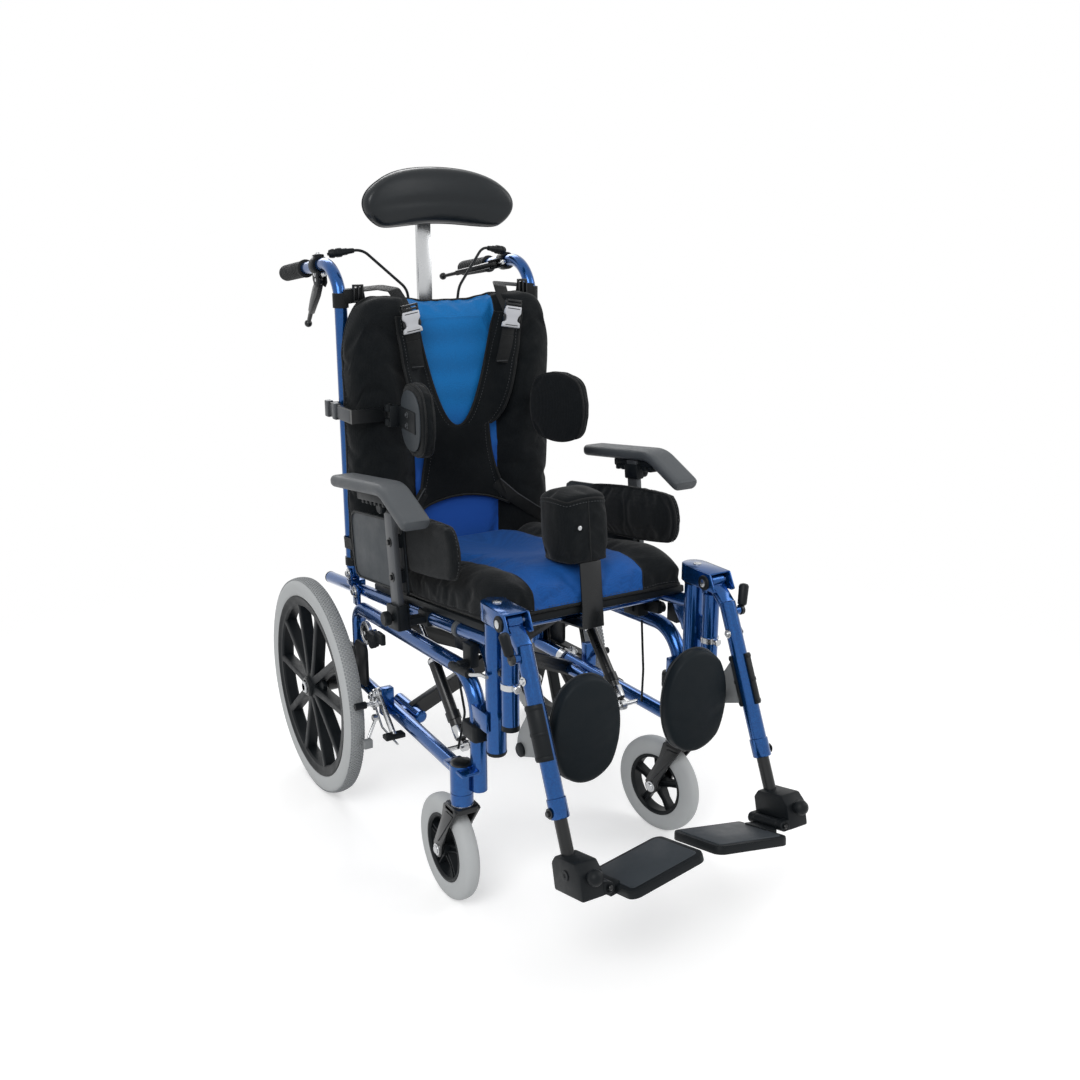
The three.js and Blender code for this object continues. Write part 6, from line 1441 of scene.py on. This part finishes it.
def head_point(u, v, w):
    thick = math.sqrt(1 - 0.72 * w * w) * math.sqrt(1 - 0.6 * u ** 4)
    x = u * HEAD_HALF[0] * math.sqrt(1 - 0.36 * w * w) * (1 - 0.04 * v * v)
    crease = 3 * math.exp(-(((w + 0.22) / 0.13) ** 2)) * max(-v, 0) * (1 - u * u)
    y = 12 - 20 * u * u + v * HEAD_HALF[1] * thick / 2 + crease
    return x, y, 659 - 15 * u * u + w * HEAD_HALF[2] * math.sqrt(1 - 0.36 * u ** 4) * (1 - 0.1 * v * v)


head_pad = Form(even(44), even(10), even(24), head_point)
eased(head_pad, 4)
rim_seam = head_pad.ring(1, 6)
head_lugs = merged(*[block((s * 13.8 if s > 0 else -18.8, 44, 633), (18.8 if s > 0 else -13.8, 71, 651), 2)
                     for s in (-1, 1)], block((-22, 26, 633), (22, 50, 673), 2))
head_screws = merged(*[bolt((s * 18.8, 62, 642), (s, 0, 0), 5) for s in (-1, 1)])
soft_piece("headrest_pad", "headrest", head_pad, BACK, one_look("vinyl"),
           [("vinyl", piping(head_pad, rim_seam, 1.5)), ("steel", merged(head_lugs, head_screws))],
           ["headrest_pad"])

# %% Calf pads


def calf_point(u, v, w):
    p = pad_point(u, v, w, (57, 15.5, 82), 0.93, 0.16, 0.03)
    return p.x + 98, p.y - 340, p.z + 347


calf = Form(even(20), even(6), even(28), calf_point)
eased(calf, 3)
calf_seam = calf.ring(1, 4)
swollen(calf, calf_seam + calf.side(1, 6), 4, pressure=3.0, grow=0.005, stiff=25)
calf_arm = rod((100, CALF.y, CALF.z), (178, CALF.y, CALF.z), 7)
calf_pin = rod((170, CALF.y, CALF.z), (183, CALF.y, CALF.z), 5)
calf_stay = block((80, -333, 304), (116, CALF.y, 340), 2)
for side, _ in SIDES:
    soft_piece(f"calf_pad_{side}", f"calf_{side}", calf, Matrix(), one_look("matt_vinyl"),
               [("vinyl", piping(calf, calf_seam, 1.9)), ("gloss_black", merged(calf_arm, calf_stay)),
                ("steel", calf_pin)], [f"calf_pad_{side}"], side == "right")

# %% Pommel


def pommel_point(u, v, w):
    top = (w + 1) / 2
    x = u * 40 * math.sqrt(1 - 0.2 * v * v) * (1 - 0.03 * w * w) * (1 - 0.06 * max(v, 0))
    y = -13 + (v * math.sqrt(1 - 0.2 * u * u) + 1) / 2 * 92
    return x, y, 89.5 + top * 110 * (1 - 0.05 * (u * u + v * v) * top)


pommel = Form(even(14), even(14), even(18), pommel_point)
eased(pommel, 3)
top_seam = pommel.ring(2, 17)
front_seam = pommel.line(2, (7, 0))[:-1]
swollen(pommel, top_seam + front_seam + pommel.side(2, 0), 6, grow=0.05)
snap = turned([(-2, 3.6), (0.8, 3.4), (1.4, 1.8)], (-20, -17.4, 146), (0, -1, 0), 20)
soft_piece("pommel", "pommel_unit", pommel, SEAT, one_look("black_cloth"),
           [("webbing", merged(piping(pommel, top_seam, 1.8), piping(pommel, front_seam, 1.3, False))),
            ("steel", snap)], ["pommel"])
print("small pads done", len(made))

# %% [markdown]
# ## Vest and webbing
# The vest is a padded bib. It lies on the back pad and bridges its valleys, so its inner face is found by looking
# back at the swollen pad and taking the highest point nearby. Its straps carry flat webbing through side release
# buckles and over the top of the pad to the push handles. Webbing is drawn directly, as a flat section swept
# along a line, because a strap under tension keeps its width and only bends.

# %% The vest on the pad
pad_tree = BVHTree.FromPolygons(back_pad.points, back_pad.faces)


def pad_height(x, z):
    """How far forward the swollen pad reaches at a place, as a y in the back's frame."""
    hit = pad_tree.ray_cast(Vector((x, -300, z)), Y)
    return hit[0].y if hit[0] else -12.0


def bridged(x, z, reach=18):
    """The pad's height with its valleys bridged, as a stretched cloth lies."""
    return min(pad_height(x + reach * k / 3, z + reach * m / 3) - 0.4 * abs(k)
               for k in range(-3, 4) for m in (-1, 0, 1))


VEST_LOW, NECK_LOW, VEST_HIGH, NECK_HALF, STRAP_W, WAIST, HEM, HEM_ARCH = 112, 262, 462, 76, 46, 62, 96, 24
COLUMNS, LOW_ROWS, HIGH_ROWS = 14, 26, 40


def neck_edge(z):
    return NECK_HALF * min(max((z - NECK_LOW) / (VEST_HIGH - NECK_LOW), 0), 1) ** 0.5


def vest_edge(z):
    if z >= NECK_LOW:
        return neck_edge(z) + STRAP_W + (WAIST - STRAP_W) * min(max((VEST_HIGH - z) / (VEST_HIGH - NECK_LOW), 0), 1)
    down = (NECK_LOW - z) / (NECK_LOW - VEST_LOW)
    return WAIST + (HEM - WAIST) * down * down


rows = [VEST_LOW + (NECK_LOW - VEST_LOW) * k / LOW_ROWS for k in range(LOW_ROWS)]
rows += [NECK_LOW + (VEST_HIGH - NECK_LOW) * (k / HIGH_ROWS) ** 1.4 for k in range(HIGH_ROWS + 1)]
last = len(rows) - 1
vest_points, vest_faces, seam_rows, binding_lines, necks = [], [], [], [], []
for s in (-1, 1):
    grid = {}
    for r, row_z in enumerate(rows):
        inner, outer = neck_edge(row_z), vest_edge(row_z)
        for c in range(COLUMNS + 1):
            x = s * (inner + (outer - inner) * c / COLUMNS)
            z = row_z + HEM_ARCH * (1 - (x / HEM) ** 2) * max(NECK_LOW - row_z, 0) / (NECK_LOW - VEST_LOW)
            rear_y = bridged(x, z) - 1.2
            from_edge = min(c if z >= NECK_LOW else 3, COLUMNS - c, 3) / 3
            thick = 2.2 + 3.6 * math.sqrt(from_edge) + 0.7 * noise.noise(Vector((x, z, 0)) * 0.03)
            for layer, y in ((0, rear_y - thick), (1, rear_y)):
                grid[(r, c, layer)] = len(vest_points)
                vest_points.append(Vector((x, y, z)))
    for r in range(last):
        for c in range(COLUMNS):
            for layer in (0, 1):
                quad = [grid[(r, c, layer)], grid[(r, c + 1, layer)], grid[(r + 1, c + 1, layer)],
                        grid[(r + 1, c, layer)]]
                vest_faces.append(tuple(quad if layer else reversed(quad)))
        for c in (0, COLUMNS):
            if c or rows[r] >= NECK_LOW:
                vest_faces.append((grid[(r, c, 0)], grid[(r + 1, c, 0)], grid[(r + 1, c, 1)], grid[(r, c, 1)]))
    for c in range(COLUMNS):
        for r in (0, last):
            vest_faces.append((grid[(r, c, 0)], grid[(r, c + 1, 0)], grid[(r, c + 1, 1)], grid[(r, c, 1)]))
    seam_rows += [[grid[(r, COLUMNS - 2, 0)] for r in range(last + 1)],
                  [grid[(r, 2, 0)] for r in range(LOW_ROWS + 2, last + 1)]]
    binding_lines += [[grid[(r, COLUMNS, 0)] for r in range(last + 1)],
                      [grid[(0, c, 0)] for c in range(COLUMNS + 1)]]
    necks.append([grid[(r, 0, 0)] for r in range(LOW_ROWS, last + 1)])
binding_lines.append(necks[0][::-1] + necks[1][1:])
near = neighbours(vest_points, vest_faces)
for _ in range(2):
    ys = [sum(vest_points[n].y for n in near[i]) / len(near[i]) for i in range(len(vest_points))]
    for p, y in zip(vest_points, ys):
        if abs(p.x) > 1:
            p.y = min(p.y * 0.5 + y * 0.5, p.y + 0.6)


def proud(keys, lift):
    """A line of the vest's points, lifted off its face."""
    return [vest_points[k] - Y * lift for k in keys]


binding = merged(*[sweep(proud(keys, 0.4), oval(2.6, 2.0, 8), side=X) for keys in binding_lines])
mesh = sewn("vest", [metres(BACK @ p) for p in vest_points], vest_faces, 0.05 * MM)
mesh.materials.append(LOOKS["black_cloth"])
stuffed("vest", "back", mesh, ["vest"])
piece("vest_binding", "back", carried(BACK, ("webbing", binding)))
print("vest points", len(mesh.vertices))

# %% Stitches along the seams
stitch_group, given, result = new_group("stitches", ("Pitch", "Float", 0.0055), ("Length", "Float", 0.0036),
                                        ("Thickness", "Float", 0.0005), ("Seed", "Int", 3),
                                        ("Material", "Material", None))
tree = stitch_group
curve = tree.nodes.new("GeometryNodeMeshToCurve")
paced = add_node(tree, "GeometryNodeResampleCurve", mode="LENGTH")
bead = add_node(tree, "GeometryNodeMeshUVSphere", {"Segments": 6, "Rings": 4, "Radius": 1.0})
tangent = tree.nodes.new("GeometryNodeInputTangent")
aligned = add_node(tree, "FunctionNodeAlignRotationToVector", axis="X")
vary = add_node(tree, "FunctionNodeRandomValue", {"Min": 0.85, "Max": 1.1}, data_type="FLOAT")
half_length = calc(tree, "MULTIPLY", calc(tree, "MULTIPLY", (given, "Length"), 0.5), (vary, 1))
scale_by = tree.nodes.new("ShaderNodeCombineXYZ")
laid = tree.nodes.new("GeometryNodeInstanceOnPoints")
join(tree, (given, "Geometry", curve, "Mesh"), (curve, 0, paced, "Curve"), (given, "Pitch", paced, "Length"),
     (given, "Seed", vary, "Seed"), (half_length[0], 0, scale_by, 0), (given, "Thickness", scale_by, 1),
     (given, "Thickness", scale_by, 2), (tangent, 0, aligned, "Vector"), (paced, 0, laid, "Points"),
     (bead, "Mesh", laid, "Instance"), (aligned, 0, laid, "Rotation"), (scale_by, 0, laid, "Scale"))
made_real(tree, given, laid, result)


def stitched(name, body, lines, place, sign=1):
    """Rows of thread along lines of points, in a piece of their own."""
    points, edges = [], []
    for line, closed in lines:
        start = len(points)
        for p in line:
            q = place @ Vector(p)
            points.append(metres((sign * q.x, q.y, q.z)))
        edges += [(start + i, start + i + 1) for i in range(len(line) - 1)]
        edges += [(start + len(line) - 1, start)] if closed else []
    path_mesh = bpy.data.meshes.new(name)
    path_mesh.from_pydata(points, edges, [])
    rows_mesh = grown(name, stitch_group, {"Pitch": 0.0055, "Length": 0.0036, "Thickness": 0.00055, "Seed": 3,
                                           "Material": LOOKS["thread"]}, path_mesh)
    rows_mesh.shade_smooth()
    riding(placed(name, rows_mesh), body)


def seam_points(form, keys):
    return [form.points[k] for k in keys], True


stitched("vest_stitches", "back", [(proud(keys[1:-1], 0.5), False) for keys in seam_rows], BACK)
stitched("cushion_stitches", "seat", [seam_points(cushion, cushion.ring(2, 2))], SEAT)
stitched("back_stitches", "back", [seam_points(back_pad, back_pad.ring(1, 5))], BACK)
stitched("pommel_stitches", "pommel_unit", [seam_points(pommel, pommel.ring(2, 16))], SEAT)
for side, sign in SIDES:
    stitched(f"hip_stitches_{side}", f"armrest_{side}", [seam_points(hip, hip.ring(1, 3))], SEAT, sign)
print("stitch faces", sum(len(item.data.polygons) for item in made if "stitches" in item.name))

# %% Webbing and buckles
WEB, WEB_THICK = 25, 1.6


def flat_strap(line, width=WEB, thick=WEB_THICK, side=X, bend=6, last=None):
    """Webbing along a line; side is where its width points at the start, and last at the end."""
    stations = rounded(line, bend) if len(line) > 2 else vectors(line)
    w, t = width / 2, thick / 2
    section = [(-w, -t * 0.4), (-w + 1, -t), (w - 1, -t), (w, -t * 0.4), (w, t * 0.4), (w - 1, t), (-w + 1, t),
               (-w, t * 0.4)]
    rings, first = [], Vector(side).normalized()
    for i, at in enumerate(stations):
        ahead = stations[min(i + 1, len(stations) - 1)]
        behind = stations[max(i - 1, 0)]
        way = (ahead - behind).normalized()
        if last:
            first = Vector(side).lerp(Vector(last), i / (len(stations) - 1))
        first = (first - way * first.dot(way)).normalized()
        second = way.cross(first)
        rings.append([at + first * u + second * v for u, v in section])
    return skin(rings)


def strap_middle(z, lift):
    x = (neck_edge(z) + vest_edge(z)) / 2
    return Vector((x, bridged(x, z) - 7.2 - lift, z))


def buckle(at, along, out):
    """A side release buckle 32 wide: body, two prongs and the bar end."""
    along, out = Vector(along).normalized(), Vector(out).normalized()
    place = axes_at(along.cross(out).normalized(), along, out, at)
    right_side = [(18, -19), (17, -11), (10.5, -7), (12, 0), (16.5, 6), (15.5, 18)]
    body = plate([(-x, y) for x, y in reversed(right_side)] + right_side, 1.4, 8, "z", 1.8)
    prong = [(15.6, 4), (17.6, -2), (16.6, -9), (13, -8), (13, 2)]
    release = merged(*[plate([(s * x, y) for x, y in prong][::s], 2, 6.6, "z", 1.2) for s in (-1, 1)])
    slots = merged(*[block((-12.5, y, 7), (12.5, y + 1.6, 8.4), 0.5) for y in (-16, 13)])
    ladder = merged(*[block((-16, y, 0.5), (16, y + 4, 5.5), 1) for y in (14, 20, 26)])
    frame_sides = merged(*[block((s * 16 - (3 if s > 0 else 0), 12, 0.5), (s * 16 + (0 if s > 0 else 3), 30, 5.5), 1)
                           for s in (-1, 1)])
    return carried(place, ("buckle", body), ("gloss_black", merged(ladder, frame_sides, slots, release)))


# One side's straps, drawn on the left, then both sides in one piece
line = [strap_middle(z, 2.0) for z in (372, 384, 400, 420, 440, 456)]
lower = flat_strap(line)
doubled = flat_strap([p - Y * 1.8 for p in line[:4]], 25.6, 1.8)
stitch = merged(*[flat_strap([line[0] + Vector((x, -3.2, z)) for x in (-11, 11)], 0.9, 0.6, Z) for z in (3, 10)])
top = strap_middle(456, 2.5)
upper = flat_strap([top, (top.x + 2, -52, 486), (top.x + 6, -34, 503), (top.x + 20, -6, 506), (178, 14, 500)],
                   WEB, 1.8, X, 10)
wrap = turned([(-12.5, 12.1), (-12, 13.6), (12, 13.6), (12.5, 12.1)], (188, 0, 486), Z, 36)
tail_loop = flat_strap([(186, -12.5, 492), (168, -12, 494), (150, -14, 497)], 24, 2.6, Z)
slider = merged(*[block((x, -18, 484), (x + 3, -11, 512), 1) for x in (152, 160, 168)],
                block((152, -18, 482), (171, -11, 486), 1), block((152, -18, 509), (171, -11, 513), 1))
low_line = [Vector((72, bridged(72, 150) - 7, 152)), Vector((100, bridged(100, 128) - 3, 124)),
            Vector((140, bridged(140, 100) - 2, 96)), Vector((176, bridged(176, 76) - 2, 74))]
low_edges = merged(*[tube([p + Vector((0.55, -1.2, 0.84)) * d for p in low_line], 1.1, 0, 8) for d in (-9, 9)])
low_strap = flat_strap(low_line + [(199, -30, 62), (201, 0, 60), (194, 12, 60)], 22, 2.0, (0.5, 0, 0.8), 9, Z)
straps = [("webbing", merged(lower, doubled, upper, wrap, tail_loop, low_strap)),
          ("thread", merged(stitch, low_edges)), ("gloss_black", slider),
          *buckle(strap_middle(452, 3.5), strap_middle(456, 0) - strap_middle(430, 0), (0, -1, 0.15))]
piece("harness_webbing", "back", carried(BACK, *flipped(straps), *straps))
print("pieces", len(made))
